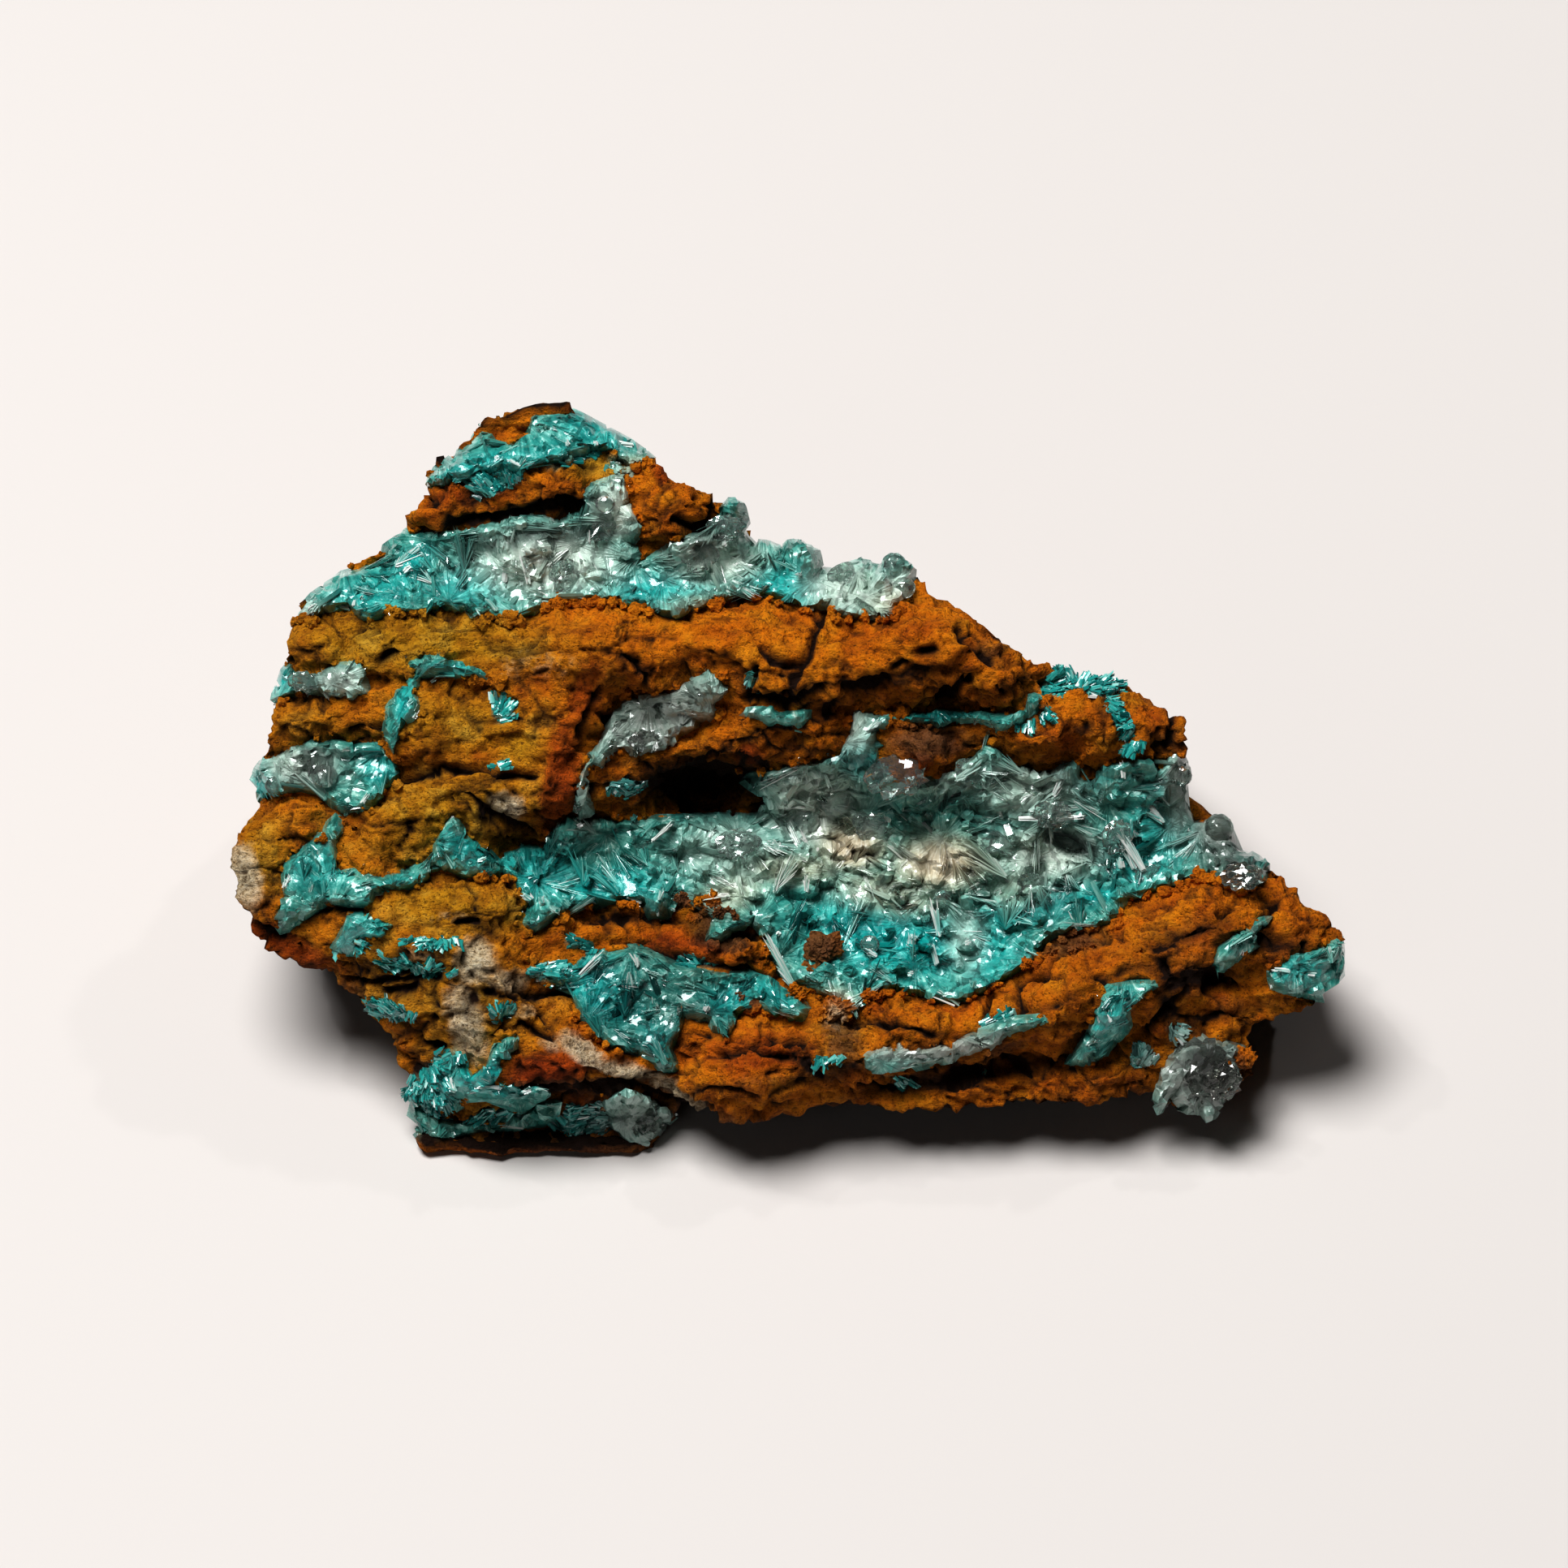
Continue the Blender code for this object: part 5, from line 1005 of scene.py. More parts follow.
        (-15.9, -18.1, 222, 2.2, 0.16, 26, 24, 0.93),
        (-17.5, -16.0, 95, 1.8, 0.5, 24, 5, 0.6),
        (-16.0, -18.2, 260, 1.2, 0.16, 12, 8, 1.0),
        (-20.5, -19.1, 95, 1.6, 0.4, 30, 6, 0.6),
    ),
    "foot_seam_crystals": (
        (-18.2, -20.8, 153, 2.0, 0.16, 5, 4, 0.97),
        (-16.4, -20.6, 174, 1.8, 0.16, 5, 4, 1.0),
        (-14.5, -19.6, 200, 2.4, 0.3, 14, 6, 0.6),
        (-21.5, -21.0, 60, 1.8, 0.5, 40, 6, 0.45),
    ),
    "right_seam_crystals": (
        (20.0, -14.2, 85, 2.6, 0.6, 20, 6, 0.7),
        (19.2, -16.0, 60, 2.2, 0.5, 30, 6, 0.5),
        (19.8, -13.9, 100, 0.8, 0.2, 30, 4, 1.0),
        (20.8, -13.0, 30, 2.2, 0.3, 10, 4, 0.6),
    ),
    "right_hollow_crystals": (
        (28.5, -8.5, 200, 2.4, 0.5, 14, 5, 0.45),
        (26.0, -10.8, 50, 3.0, 0.6, 14, 5, 0.45),
    ),
    "right_end_crystals": (
        (34.6, -11.2, 178, 4.6, 0.4, 8, 9, 0.55),
        (30.8, -10.8, 175, 1.2, 0.2, 10, 4, 0.97),
        (33.5, -10.2, 100, 1.6, 0.4, 24, 5, 0.7),
        (32.5, -11.0, 176, 1.2, 0.14, 6, 3, 1.0),
    ),
    "corner_cluster_crystals": (
        (26.5, -18.5, 62, 2.6, 0.5, 10, 5, 0.85),
        (25.0, -19.0, 100, 2.2, 0.8, 30, 5, 0.7),
        (26.0, -16.0, 70, 1.6, 0.3, 40, 6, 0.9),
    ),
    "grey_pocket_crystals": (
        (-5.5, 3.8, 58, 2.4, 0.1, 12, 14, 0.97),
        (-9.0, 2.8, 100, 1.6, 0.2, 50, 12, 0.95),
        (-6.5, 4.5, 80, 2.6, 0.9, 40, 5, 0.6),
    ),
    "middle_seam_crystals": (
        (11.2, 4.9, 190, 1.8, 0.25, 6, 4, 0.97),
        (9.8, 3.8, 30, 2.6, 0.14, 8, 6, 0.9),
        (8.0, 4.5, 160, 1.6, 0.4, 10, 4, 0.5),
        (5.2, 4.5, 60, 1.0, 0.2, 20, 4, 0.95),
    ),
}
print(sum(map(len, FANS.values())), "fans")

# %% [markdown]
# Aurichalcite grows in rosettes: laths radiate from a heart, steeply over the heart and low at its rim.
# Hearts come from cells of noise a few millimetres wide, so neighbouring sheaves point away from the same
# middle. Every crystal ends over its own crust and within that crust's reach, so none hangs over the rock.

# %% Directions and room
ROSETTE_MM = 4.2
OVER_MM = 0.2
OVERHANG_SHARE = 0.85
GLINT_TILT = 0.3
WIDEST_MM = 0.17
FAN_LIFT = 0.2
FAN_RISE_MM = {"main_vug_crystals": 0.45}
LOW_RISE_MM = 0.2
SHEAF_SHARE = 0.75
BLADE_SHARE = 0.4
PRISM_SHARE = 0.5


def rosette_direction(place):
    """Away from the nearest rosette's heart, in face axes, and how far it is, in rosette sizes."""
    spot = Vector((place[0], place[1], 0)) / ROSETTE_MM
    away = spot - noise.voronoi(spot)[1][0]
    away.z = 0
    return np.array(away.normalized()), away.length


def top_at(tree, place):
    """How far out of the face, in mm, a surface reaches at this place, or None off its edge."""
    start = from_face([(place[0], place[1], 25.0)])[0]
    hit = tree.ray_cast(Vector(start), -OUTWARD)[0]
    return None if hit is None else to_face([hit])[0][2]


def room_along(tree, foot, way, length):
    """The share of a crystal's length that stays over its own crust and within that crust's reach."""
    for share in (1.0, 0.8, 0.6, 0.4, 0.25):
        tip = foot + way * (length * share * OVERHANG_SHARE)
        top = top_at(tree, tip)
        if top is not None and tip[2] < top + OVER_MM:
            return share
    return 0.12


def turned(way, angle):
    """A direction turned about the face's normal."""
    return way * math.cos(angle) + np.cross([0, 0, 1], way) * math.sin(angle)


def tone_at(place, rng):
    """Crystals are pale or dark in masses a few millimetres across, with a little change from each to the next."""
    swell = noise.noise(Vector((place[0] / 2.2, place[1] / 2.2, 3.0)))
    return min(1.0, max(0.0, 0.36 + 0.8 * swell + rng.normal(0, 0.12)))


def in_plane(way, normal):
    flat = way - normal * way.dot(normal)
    return flat / np.linalg.norm(flat)


# %% [markdown]
# A sheaf is a flat fan of laths that start together. The sheaf has one tone with a little change from lath
# to lath, and its laths' broad sides are turned up to the light, which is what makes them silky.

# %% Grow one hollow's sheaves
def sheaf(heart, bed_normal, heading, lift, opening, number, longest, tree, rng):
    """One fan of laths: feet, axes, broad directions and lengths, in face axes and mm."""
    tangent = in_plane(heading, bed_normal)
    middle = tangent * math.cos(lift) + bed_normal * math.sin(lift)
    side = np.cross(bed_normal, tangent)
    sheet = np.cross(middle, side)
    angle = rng.uniform(-1, 1, number) * opening
    way = middle + np.tan(angle)[:, None] * side + rng.normal(0, 0.05, number)[:, None] * sheet
    way /= np.linalg.norm(way, axis=1)[:, None]
    turns = (-opening, 0.0, opening)
    shares = [room_along(tree, heart, middle * math.cos(t) + side * math.sin(t), longest) for t in turns]
    lengths = longest * np.interp(angle, turns, shares) * rng.uniform(0.6, 1.0, number)
    lengths *= 1 - 0.35 * np.abs(angle)
    feet = heart - 0.05 * bed_normal + rng.normal(0, 0.06, (number, 3))
    broad = sheet + np.array([0, GLINT_TILT, 0]) + rng.normal(0, 0.22, (number, 3))
    return feet, way, broad, lengths


def grow_laths(name, points, faces, rng):
    """All the laths of one hollow's common sheaves, ready to lay."""
    density, count, lath_mm = RECIPES[name][:3]
    density *= SHEAF_SHARE
    hearts, bed_normals = places_on(points, faces, density, rng)
    tree = crust_reach(name)
    sheaves, widths, tones = [], [], []
    for heart, bed_normal in zip(hearts, bed_normals):
        radial, far = rosette_direction(heart)
        lift = math.radians(rng.uniform(0, 12) + 25 * max(0, 0.5 - far))
        number = int(count * rng.uniform(0.6, 1.4))
        sheaves.append(sheaf(heart, bed_normal, turned(radial, rng.normal(0, 0.35)), lift, rng.uniform(0.12, 0.45),
                             number, lath_mm * rng.uniform(0.5, 1.3), tree, rng))
        widths.append(rng.uniform(0.03, 0.085, number))
        tones.append(rng.normal(0.12 + tone_at(heart, rng), 0.14, number))
    return [np.concatenate(part) for part in zip(*sheaves)] + [np.concatenate(widths), np.concatenate(tones)]


def grow_fans(name, bed_tree, rng):
    """The listed fans of one hollow, ready to lay: their hearts stand just over the bed."""
    tree = crust_reach(name)
    up = np.array([0.0, 0.0, 1.0])
    sheaves, widths, tones = [], [], []
    for u, v, heading, longest, width, opening, number, tone in FANS.get(name, ()):
        top = top_at(bed_tree, (u, v))
        if top is None:
            continue
        way = np.array([math.cos(math.radians(heading)), math.sin(math.radians(heading)), 0.0])
        heart = np.array([u, v, top + FAN_RISE_MM.get(name, LOW_RISE_MM)])
        number = int(2 * number * max(1.0, width / WIDEST_MM))
        sheaves.append(sheaf(heart, up, way, FAN_LIFT, math.radians(opening), number, longest, tree, rng))
        widths.append(min(width, WIDEST_MM) * rng.uniform(0.4, 1.0, number))
        tones.append(rng.normal(tone, 0.14, number))
    if not sheaves:
        return None
    return [np.concatenate(part) for part in zip(*sheaves)] + [np.concatenate(widths), np.concatenate(tones)]


# %% [markdown]
# Between the sheaves lie broader blades, half clear and finely striped along their length. They lie like
# shingles, all nearly flat on the bed, and follow the same rosettes.

# %% Grow one hollow's blades
def grow_blades(name, points, faces, rng):
    density, lath_mm = BLADE_SHARE * RECIPES[name][3], RECIPES[name][2]
    spots, bed_normals = places_on(points, faces, density, rng)
    tree = crust_reach(name)
    ways = []
    for spot, bed_normal in zip(spots, bed_normals):
        heading = in_plane(turned(rosette_direction(spot)[0], rng.normal(0, 0.35)), bed_normal)
        ways.append(heading + bed_normal * rng.uniform(0.02, 0.3))
    ways = np.array(ways)
    ways /= np.linalg.norm(ways, axis=1)[:, None]
    lengths = lath_mm * rng.uniform(0.5, 1.2, len(spots))
    lengths *= [room_along(tree, spot, way, length) for spot, way, length in zip(spots, ways, lengths)]
    widths = np.minimum(rng.uniform(0.15, 0.6, len(spots)), 0.4 * lengths + 0.08)
    broad = bed_normals + np.array([0, GLINT_TILT, 0]) + rng.normal(0, 0.3, (len(spots), 3))
    tones = np.array([tone_at(spot, rng) for spot in spots])
    return spots - 0.1 * bed_normals, ways, broad, lengths, widths, tones


# %% [markdown]
# Hemimorphite stands among the sheaves as clear prisms with wedge ends, most of them where the hollow is
# grey. They stand roughly square to the bed and in every size up to the recipe's.

# %% Grow one hollow's prisms
def grow_prisms(name, points, faces, rng):
    density, prism_mm = PRISM_SHARE * RECIPES[name][4], RECIPES[name][5]
    spots, bed_normals = places_on(points, faces, density, rng)
    kept = rng.random(len(spots)) < 0.15 + 0.85 * np.clip(mask(CLEAR, spots), 0, 1)
    kept[0] = True
    spots, bed_normals = spots[kept], bed_normals[kept]
    tree = crust_reach(name)
    ways = bed_normals + rng.normal(0, 0.6, (len(spots), 3))
    ways /= np.linalg.norm(ways, axis=1)[:, None]
    lengths = prism_mm * rng.uniform(0.6, 1.6, len(spots))
    lengths *= [room_along(tree, spot, way, length) for spot, way, length in zip(spots, ways, lengths)]
    widths = np.maximum(lengths, 0.3) * rng.uniform(0.4, 0.8, len(spots))
    broad = rng.normal(size=(len(spots), 3))
    return spots - 0.15 * bed_normals, ways, broad, lengths, widths, widths * rng.uniform(0.4, 0.9, len(spots))

# %% [markdown]
# Aurichalcite is silky and half clear: light goes into the laths and comes out teal. A little plain
# transmission with a low roughness gives that, over a colour that runs from dark to pale teal and at its top
# to near white, which is painted highlight standing in for glints. The hemimorphite is as clear as glass
# with a slight smoky tint, by plain transmission and its real index.

# %% The crystals' materials
def stripes_of(material, across, along, detail=3.0):
    """Noise that runs along each crystal, from the copy's own coordinates."""
    own = add_node(material, "ShaderNodeAttribute", attribute_name="own").outputs["Vector"]
    mapping = add_node(material, "ShaderNodeMapping")
    mapping.inputs["Scale"].default_value = (across, across, along)
    link(material, own, mapping.inputs["Vector"])
    texture = add_node(material, "ShaderNodeTexNoise", Scale=1.0, Detail=detail, Roughness=0.6)
    link(material, mapping.outputs["Vector"], texture.inputs["Vector"])
    return texture.outputs[0]


# Each ramp's top is near white. In the teal, quiet and grey ramps that white is painted highlight for the glints on the
# whitest crystals; in the milky ramp it is partly the crystals' own pale colour.
TEAL_TONES = [(0.0, (0.0, 0.08, 0.08)), (0.3, (0.0, 0.27, 0.26)), (0.6, (0.0, 0.47, 0.435)), (0.82, (0.24, 0.77, 0.71)),
              (1.0, (0.95, 0.99, 0.97))]
QUIET_TONES = [(0.0, (0.01, 0.08, 0.07)), (0.3, (0.03, 0.25, 0.21)), (0.6, (0.15, 0.45, 0.38)), (0.82, (0.52, 0.78, 0.69)),
               (1.0, (0.96, 0.98, 0.94))]
MILK_TONES = [(0.0, (0.34, 0.27, 0.17)), (0.3, (0.58, 0.49, 0.34)), (0.6, (0.80, 0.73, 0.57)), (1.0, (0.98, 0.96, 0.88))]
GREY_TONES = [(0.0, (0.32, 0.42, 0.36)), (0.35, (0.66, 0.77, 0.67)), (0.65, (0.86, 0.93, 0.84)), (1.0, (0.97, 0.99, 0.96))]


def crystal_colour(material, tone):
    """The colour of a crystal of this tone, by the masks of its place."""
    colour = mix_of(material, attribute_of(material, "bright"), ramp_of(material, tone, QUIET_TONES),
                    ramp_of(material, tone, TEAL_TONES))
    colour = mix_of(material, attribute_of(material, "clear"), colour, ramp_of(material, tone, GREY_TONES))
    colour = mix_of(material, attribute_of(material, "milky"), colour, ramp_of(material, tone, MILK_TONES))
    # Last, the colour is darkened by the mask of dim places: mostly painted shade, and in a few places darker crystals.
    return mix_of(material, math_of(material, "MULTIPLY", attribute_of(material, "dim"), 0.95), colour, (0.01, 0.025, 0.025))


def teal_material(name, transmission, roughness, across, swing):
    material, shader = new_material(name)
    stripes = stripes_of(material, across, 0.5)
    change = math_of(material, "MULTIPLY", math_of(material, "SUBTRACT", stripes, 0.5), swing)
    tone = math_of(material, "ADD", attribute_of(material, "tone"), change, clamp=True)
    link(material, crystal_colour(material, tone), shader.inputs["Base Color"])
    shader.inputs["Roughness"].default_value = roughness
    shader.inputs["IOR"].default_value = 1.65
    shader.inputs["Transmission Weight"].default_value = transmission
    shader.inputs["Coat Weight"].default_value = 0.6
    shader.inputs["Coat Roughness"].default_value = 0.06
    link(material, bump_of(material, stripes, 0.5, 0.00005), shader.inputs["Normal"])
    return material


def clear_material(name, transmission, roughness):
    material, shader = new_material(name)
    cloud = noise_of(material, 1.4, 3, 0.6)
    colour = ramp_of(material, cloud, [(0.35, (0.70, 0.86, 0.81)), (0.65, (0.96, 1.0, 0.98))])
    # Dim places darken the clear crystals towards brown: mostly painted shade, and in a few places smoky crystals.
    colour = mix_of(material, math_of(material, "MULTIPLY", attribute_of(material, "dim"), 0.8), colour, (0.2, 0.17, 0.13))
    link(material, colour, shader.inputs["Base Color"])
    shader.inputs["Roughness"].default_value = roughness
    shader.inputs["IOR"].default_value = 1.61
    shader.inputs["Transmission Weight"].default_value = transmission
    return material


def bed_material():
    material, shader = new_material("aurichalcite_bed")
    cloud = noise_of(material, 1.1, 4, 0.65)
    stripes = stripes_of(material, 1.0, 0.35, 4.0)
    streak = math_of(material, "ADD", math_of(material, "MULTIPLY", cloud, 0.5), math_of(material, "MULTIPLY", stripes, 0.5))
    tone = math_of(material, "MULTIPLY", math_of(material, "SUBTRACT", streak, 0.33), 2.6, clamp=True)
    link(material, crystal_colour(material, tone), shader.inputs["Base Color"])
    shader.inputs["Roughness"].default_value = 0.3
    shader.inputs["IOR"].default_value = 1.6
    shader.inputs["Coat Weight"].default_value = 0.8
    shader.inputs["Coat Roughness"].default_value = 0.06
    link(material, bump_of(material, streak, 0.9, 0.0004), shader.inputs["Normal"])
    return material


BED = bed_material()
SILK = teal_material("aurichalcite_silk", 0.15, 0.2, 9.0, 0.5)
BLADE = teal_material("aurichalcite_blade", 0.4, 0.12, 6.0, 0.9)
GLASS = clear_material("hemimorphite_glass", 1.0, 0.03)
CLOUDED = clear_material("hemimorphite_clouded", 0.94, 0.05)
print("crystal materials:", BED.name, SILK.name, BLADE.name, GLASS.name, CLOUDED.name)

# %% [markdown]
# Each hollow becomes four pieces: its bed, its laths, its blades and its prisms. They get the masks of
# their places, and each crust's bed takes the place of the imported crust.

# %% Put each hollow together
def keep_own(mesh, own):
    mesh.attributes.new("own", "FLOAT_VECTOR", "POINT").data.foreach_set("vector", np.asarray(own, np.float32).ravel())


def radial_own(points):
    """Coordinates for a bed whose stripes run away from each rosette's heart."""
    own = np.zeros((len(points), 3))
    for i, place in enumerate(to_face(points)):
        away, far = rosette_direction(place)
        own[i] = (STRIPES * away[0], STRIPES * away[1], far * ROSETTE_MM)
    return own


def add_piece(name, points, faces, own, material, tones):
    """A piece of crystals with its masks, kept inside the solids' box. The points are in metres."""
    points = np.clip(points, LOWEST + [0.00005, 0.00005, 0.0001], HIGHEST - 0.00005)
    mesh = bpy.data.meshes.new(name)
    mesh.from_pydata(points.tolist(), [], faces.tolist())
    spots = to_face(points)
    keep_mask(mesh, "bright", np.clip(mask(BRIGHT, spots), 0, 1))
    keep_mask(mesh, "milky", np.clip(mask(MILKY, spots), 0, 1))
    keep_mask(mesh, "clear", np.clip(mask(CLEAR, spots), 0, 1))
    keep_mask(mesh, "dim", np.clip(mask(DIM_AND_SHADE, spots), 0, 1))
    keep_mask(mesh, "tone", tones)
    keep_own(mesh, own)
    mesh.materials.append(material)
    piece = bpy.data.objects.new(name, mesh)
    bpy.context.scene.collection.objects.link(piece)
    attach(piece, BODY)
    return piece


STRIPES = 7.0
SHARP_DEGREES = 24
triangle_total = len(rock_mesh.polygons)
for seed, name in enumerate(CRUSTS):
    rng = np.random.default_rng(11 + seed)
    bed_points, bed_faces = bed_arrays(crust_bed(name))
    bed_tree = BVHTree.FromPolygons(bed_points.tolist(), bed_faces.tolist())
    hollow = name.replace("crystals", "")
    bed_own = radial_own(bed_points)
    bed = add_piece(hollow + "bed", bed_points, bed_faces, bed_own, BED, np.full(len(bed_points), 0.5))
    bed.data.shade_smooth()
    bed.data.set_sharp_from_angle(angle=math.radians(SHARP_DEGREES))
    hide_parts(name)
    made = {"bed": len(bed_faces)}
    fans = grow_fans(name, bed_tree, rng)
    common = grow_laths(name, bed_points, bed_faces, rng)
    laths = common if fans is None else [np.concatenate(pair) for pair in zip(common, fans)]
    *placed, widths, tones = laths
    spots, faces, own = lay_copies(LATH, *placed, widths, np.maximum(0.25 * widths, 0.025), rng)
    tones = np.repeat(np.clip(tones, 0, 1), len(LATH[0]))
    add_piece(hollow + "laths", from_face(spots), faces, own, SILK, tones)
    made["laths"] = len(faces)
    *placed, widths, tones = grow_blades(name, bed_points, bed_faces, rng)
    spots, faces, own = lay_copies(PRISM, *placed, widths, 0.1 + 0.1 * widths, rng)
    tones = np.repeat(tones, len(PRISM[0]))
    add_piece(hollow + "blades", from_face(spots), faces, own, BLADE, tones)
    made["blades"] = len(faces)
    spots, faces, own = lay_copies(PRISM, *grow_prisms(name, bed_points, bed_faces, rng), rng)
    add_piece(hollow + "prisms", from_face(spots), faces, own, GLASS, np.full(len(spots), 0.5))
    made["prisms"] = len(faces)
    triangle_total += sum(made.values())
    print(name, made)
print("the rock and its crystals have", triangle_total, "triangles")

# %% [markdown]
# Some hemimorphite has grown into rounded, water-clear nodules and broken plates a millimetre or two
# across. The nodules are smooth balls and the plates are lumpy ones with flat facets, both pressed flat.

# %% Glass nodules and plates
NODULES = (  # u, v, radius
    (3.0, -0.1, 1.25), (10.5, -10.9, 0.9), (17.6, 2.2, 0.6), (26.7, -2.0, 0.9), (-0.2, 16.0, 0.6), (3.6, 15.2, 0.8),
    (6.6, 14.2, 0.8), (5.2, 14.8, 0.5), (23.3, -19.2, 0.7), (-28.5, 1.2, 0.8), (-11.2, 17.9, 0.6), (7.2, 12.8, 0.7),
    (5.1, -9.2, 0.6), (-7.6, 4.6, 0.7), (1.2, -1.6, 0.8), (24.3, 1.2, 0.7), (-4.6, -4.6, 0.6), (4.6, -1.6, 0.6),
    (-15.4, 12.6, 0.6), (13.4, 0.6, 0.6), (-31.6, 0.6, 0.6), (9.6, -6.4, 0.6), (27.6, -4.6, 0.6), (-13.0, 14.8, 0.6),
)
PLATES = (  # u, v, half width, half height
    (6.7, 1.2, 1.8, 1.2), (0.5, -0.8, 1.4, 1.2), (13.0, -2.5, 1.7, 1.1), (9.3, -8.0, 1.2, 1.1), (11.5, 1.4, 1.2, 0.8),
    (28.0, -5.0, 1.2, 0.8), (-28.5, 1.8, 1.5, 0.8), (-5.4, 14.8, 1.1, 1.2), (-3.8, 16.5, 1.1, 0.7), (4.0, 13.0, 1.5, 1.3),
    (25.4, -16.6, 1.7, 1.5), (26.8, -17.6, 1.1, 1.1), (24.3, -9.0, 0.9, 0.4), (-11.0, 16.8, 0.9, 1.4), (1.4, 15.8, 0.7, 1.0),
    (-13.4, 13.4, 1.3, 1.0), (-16.6, 14.2, 1.2, 0.8), (16.4, -1.2, 1.2, 0.9), (20.4, -2.6, 0.9, 1.0), (-3.0, -3.0, 1.3, 0.9),
    (-7.2, 4.6, 1.3, 0.9), (-8.8, 3.4, 0.9, 0.6), (32.4, -6.8, 0.8, 0.7), (5.4, -2.0, 1.1, 0.8), (15.4, -5.6, 1.2, 0.7),
    (-29.8, 7.0, 0.9, 0.6), (-9.0, -20.0, 1.2, 0.9), (9.2, -15.2, 1.2, 0.5), (22.6, -5.0, 1.1, 0.7), (-1.0, -5.6, 1.2, 0.7),
)
whole_crust = BVHTree.FromPolygons(crust_points, crust_faces)


def lay_glass(name, shape, spots, sizes, smooth, rng):
    """Clear lumps, half sunk in whatever crust lies at (u, v)."""
    feet = []
    for u, v in spots:
        hit = whole_crust.ray_cast(Vector(from_face([(u, v, 25)])[0]), -OUTWARD)[0]
        feet.append((u, v, to_face([hit])[0][2] - 0.05 if hit else -50.0))
    feet, sizes = np.array(feet), np.array(sizes)
    kept = feet[:, 2] > -40
    feet, sizes = feet[kept], sizes[kept]
    turn = rng.normal(0, 0.25, (len(feet), 3))
    axes = np.array([0.0, 0.0, 1.0]) + turn
    broad = np.array([0.0, 1.0, 0.0]) + turn
    spots, faces, own = lay_copies(shape, feet, axes, broad, sizes[:, 2], sizes[:, 0], sizes[:, 1], rng)
    piece = add_piece(name, from_face(spots), faces, own, CLOUDED, np.full(len(spots), 0.5))
    if smooth:
        piece.data.shade_smooth()
    print(name, "has", len(faces), "triangles")


rng = np.random.default_rng(23)
sizes = [(r, r * 0.95, r * 0.6) for _, _, r in NODULES]
lay_glass("glass_nodules", make_crumb(4, 0.12), [n[:2] for n in NODULES], sizes, True, rng)
sizes = [(a, b, 0.45 * b) for _, _, a, b in PLATES]
lay_glass("glass_plates", make_crumb(3, 0.7), [n[:2] for n in PLATES], sizes, False, rng)

# %% [markdown]
# Thin aurichalcite also grows straight on the rock, wherever it is stained teal, as low tufts. Tiny clear
# grains are strewn along the hollows, where they show only as sparks of light.

# %% Tufts and sparks on the rock
TUFTS = 2300
LATHS_IN_TUFT = 5
SPARKS = 420
rock_spots = to_face([v.co for v in rock_mesh.vertices])
rock_normals = to_face([v.normal * MM for v in rock_mesh.vertices]) - to_face([(0, 0, 0)])
stained = np.clip(mask(TEAL_STAIN, rock_spots) - 0.3, 0, 1) * shown
stained *= (rock_normals[:, 2] > 0.35) & (rock_spots[:, 2] > FRONT_FROM_MM)
picked = rng.choice(len(rock_spots), TUFTS, p=stained / stained.sum())
feet = np.repeat(rock_spots[picked], LATHS_IN_TUFT, axis=0)
ways = np.array([in_plane(rosette_direction(rock_spots[i])[0], rock_normals[i]) + 0.03 * rock_normals[i] for i in picked])
ways = np.repeat(ways, LATHS_IN_TUFT, axis=0) + rng.normal(0, 0.13, feet.shape)
broad = rng.normal(0, 0.15, feet.shape) + np.repeat(rock_normals[picked], LATHS_IN_TUFT, axis=0)
lengths = rng.uniform(0.3, 0.75, len(feet))
widths = rng.uniform(0.14, 0.42, len(feet))
spots, faces, own = lay_copies(LATH, feet + rng.normal(0, 0.06, feet.shape), ways, broad, lengths, widths, 0.06 + 0.1 * widths, rng)
tones = np.repeat(np.clip(rng.normal(0.46, 0.2, len(feet)), 0, 1), len(LATH[0]))
tufts = add_piece("rock_tufts", from_face(spots), faces, own, SILK, tones)
tufts.data.attributes["bright"].data.foreach_set("value", np.full(len(spots), 0.7, np.float32))
picked = rng.choice(by_the_rim, SPARKS)
sizes = rng.uniform(0.06, 0.16, SPARKS)
spots, faces, own = lay_copies(PRISM, rock_spots[picked] + 0.02, rng.normal(size=(SPARKS, 3)), rng.normal(size=(SPARKS, 3)),
                               1.6 * sizes, sizes, sizes, rng)
add_piece("rock_sparks", from_face(spots), faces, own, GLASS, np.full(len(spots), 0.5))
print(TUFTS * LATHS_IN_TUFT, "laths in tufts and", SPARKS, "sparks")

# %% [markdown]
# The specimen lies on a plain pale floor under one broad soft light from above, a little behind and to
# the left, with smaller ones for the glints. The camera looks at the face squarely through a long lens.

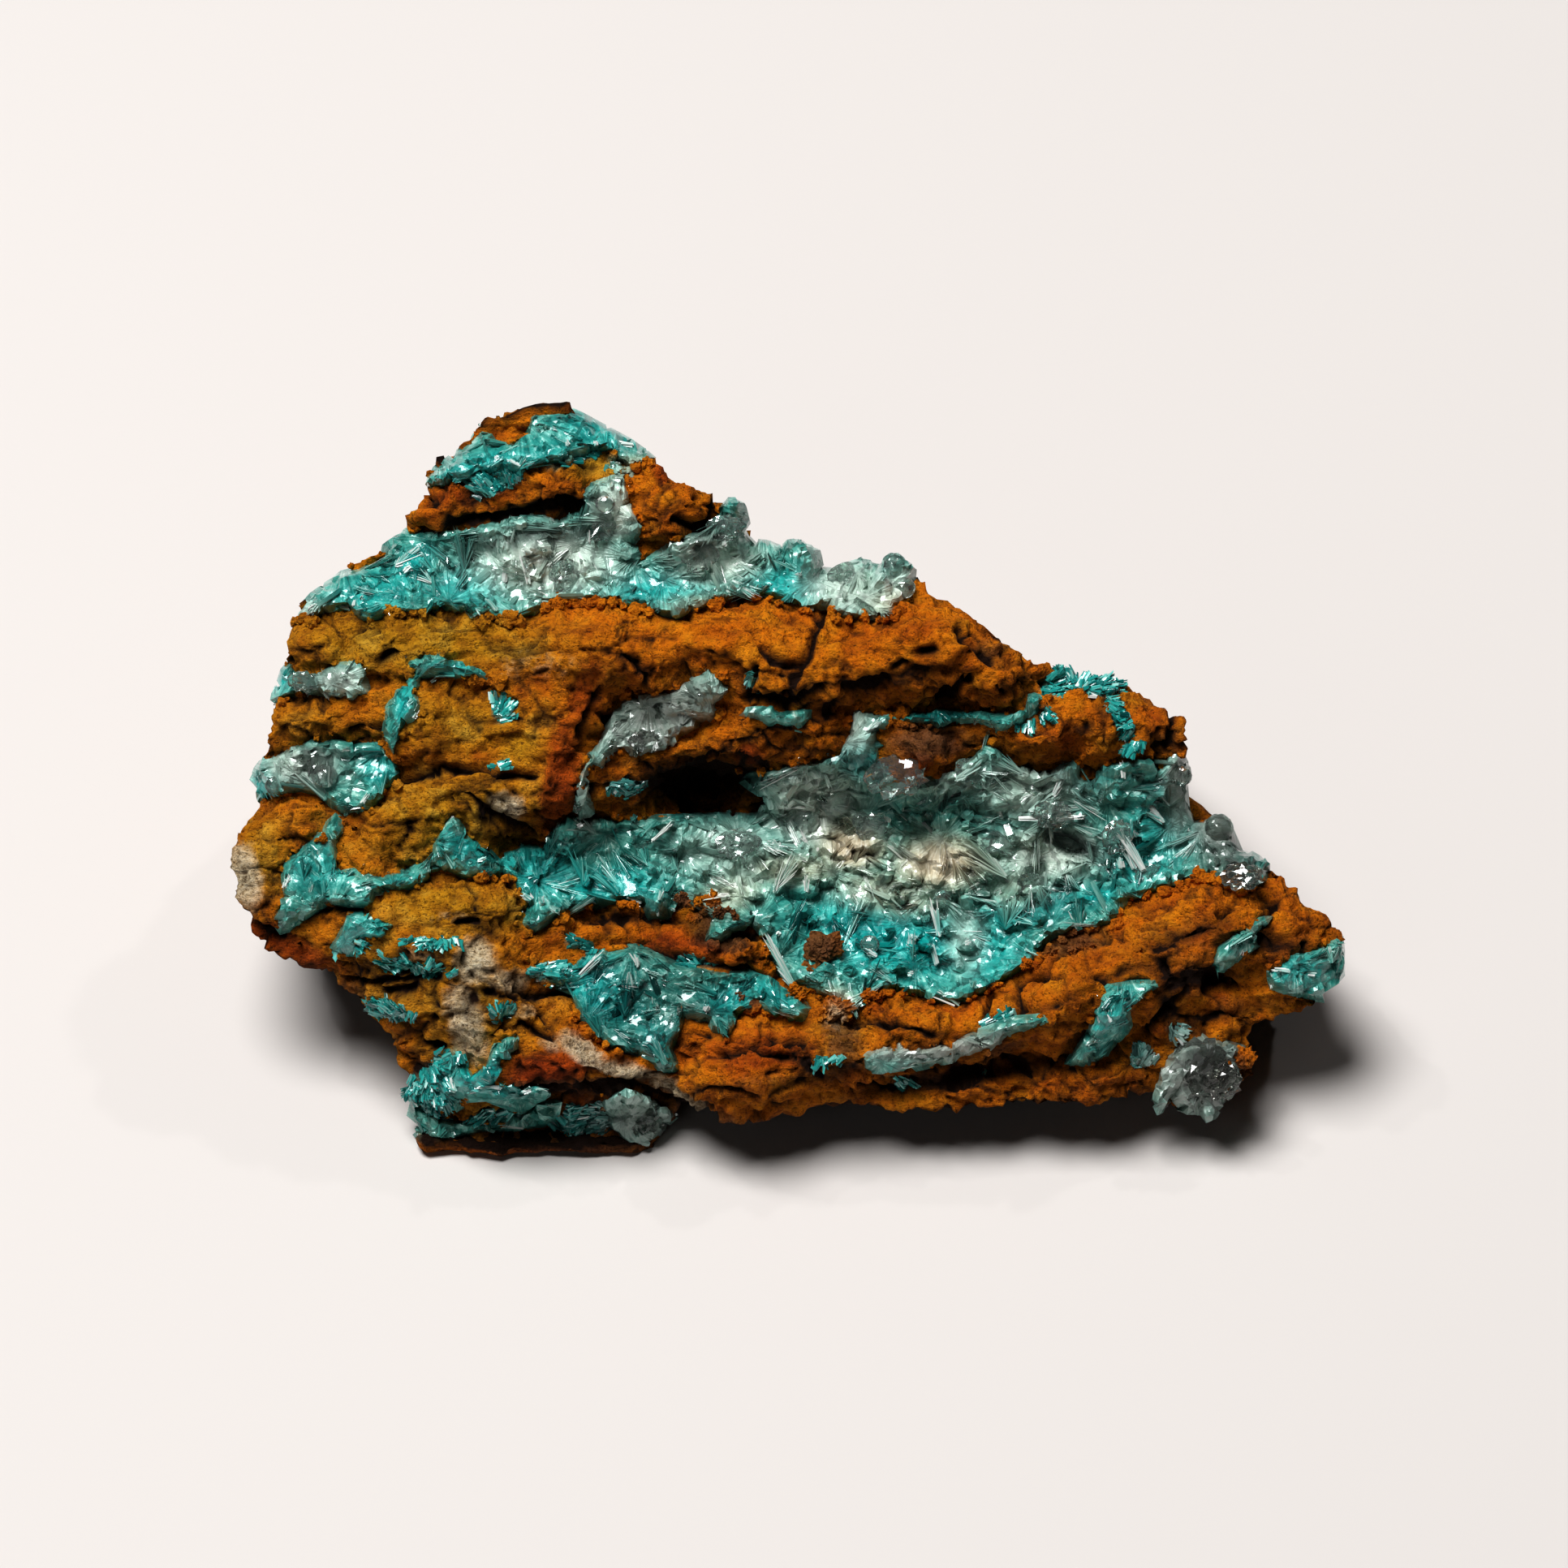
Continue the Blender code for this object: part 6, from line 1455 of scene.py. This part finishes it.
# %% Floor
floor_bm = bmesh.new()
bmesh.ops.create_grid(floor_bm, x_segments=2, y_segments=2, size=1.2)
floor_mesh = bpy.data.meshes.new("floor")
floor_bm.to_mesh(floor_mesh)
floor_bm.free()
floor = bpy.data.objects.new("floor", floor_mesh)
bpy.context.scene.collection.objects.link(floor)
paper, shader = new_material("pale_paper")
shader.inputs["Base Color"].default_value = (0.64, 0.61, 0.59, 1)
shader.inputs["Roughness"].default_value = 0.9
floor_mesh.materials.append(paper)

# %% Lights
def add_area_light(name, place, aim, size, power, colour=(1, 1, 1)):
    data = bpy.data.lights.new(name, "AREA")
    data.shape = "DISK"
    data.size = size
    data.energy = power
    data.color = colour
    lamp = bpy.data.objects.new(name, data)
    lamp.location = place
    lamp.rotation_euler = (Vector(aim) - Vector(place)).to_track_quat("-Z", "Y").to_euler()
    bpy.context.scene.collection.objects.link(lamp)
    return lamp


add_area_light("overhead_softbox", (-0.24, 0.03, 0.92), (0, 0, 0.01), 0.5, 12.9)
add_area_light("left_glint", (-0.22, 0.1, 0.4), (0, 0, 0.01), 0.016, 0.13)
add_area_light("front_fill", (-0.25, -0.45, 0.35), (0, 0, 0.01), 0.3, 0.14)
add_area_light("right_glint", (0.2, 0.2, 0.4), (0, 0, 0.01), 0.02, 0.16)
world = bpy.data.worlds.new("studio")
world.use_nodes = True
world.node_tree.nodes["Background"].inputs["Color"].default_value = (1, 0.99, 0.975, 1)
world.node_tree.nodes["Background"].inputs["Strength"].default_value = 0.008
bpy.context.scene.world = world

# %% Camera
FRAME_WIDTH_MM = 96.6
LENS_MM = 300
camera_data = bpy.data.cameras.new("camera")
camera_data.lens = LENS_MM
camera_data.sensor_width = 36
distance = FRAME_WIDTH_MM * MM * LENS_MM / 36
camera_data.clip_start = 0.05
camera_data.clip_end = 10
camera = bpy.data.objects.new("camera", camera_data)
aim = Vector(from_face([(-0.2, 0.7, 0)])[0])
camera.location = aim + OUTWARD * distance
camera.rotation_euler = (math.pi / 2 - FACE_TILT, 0, 0)
bpy.context.scene.collection.objects.link(camera)
bpy.context.scene.camera = camera
bpy.context.scene.view_settings.view_transform = "Standard"
bpy.context.scene.view_settings.gamma = 0.8
print("the camera stands", round(distance, 3), "m away")
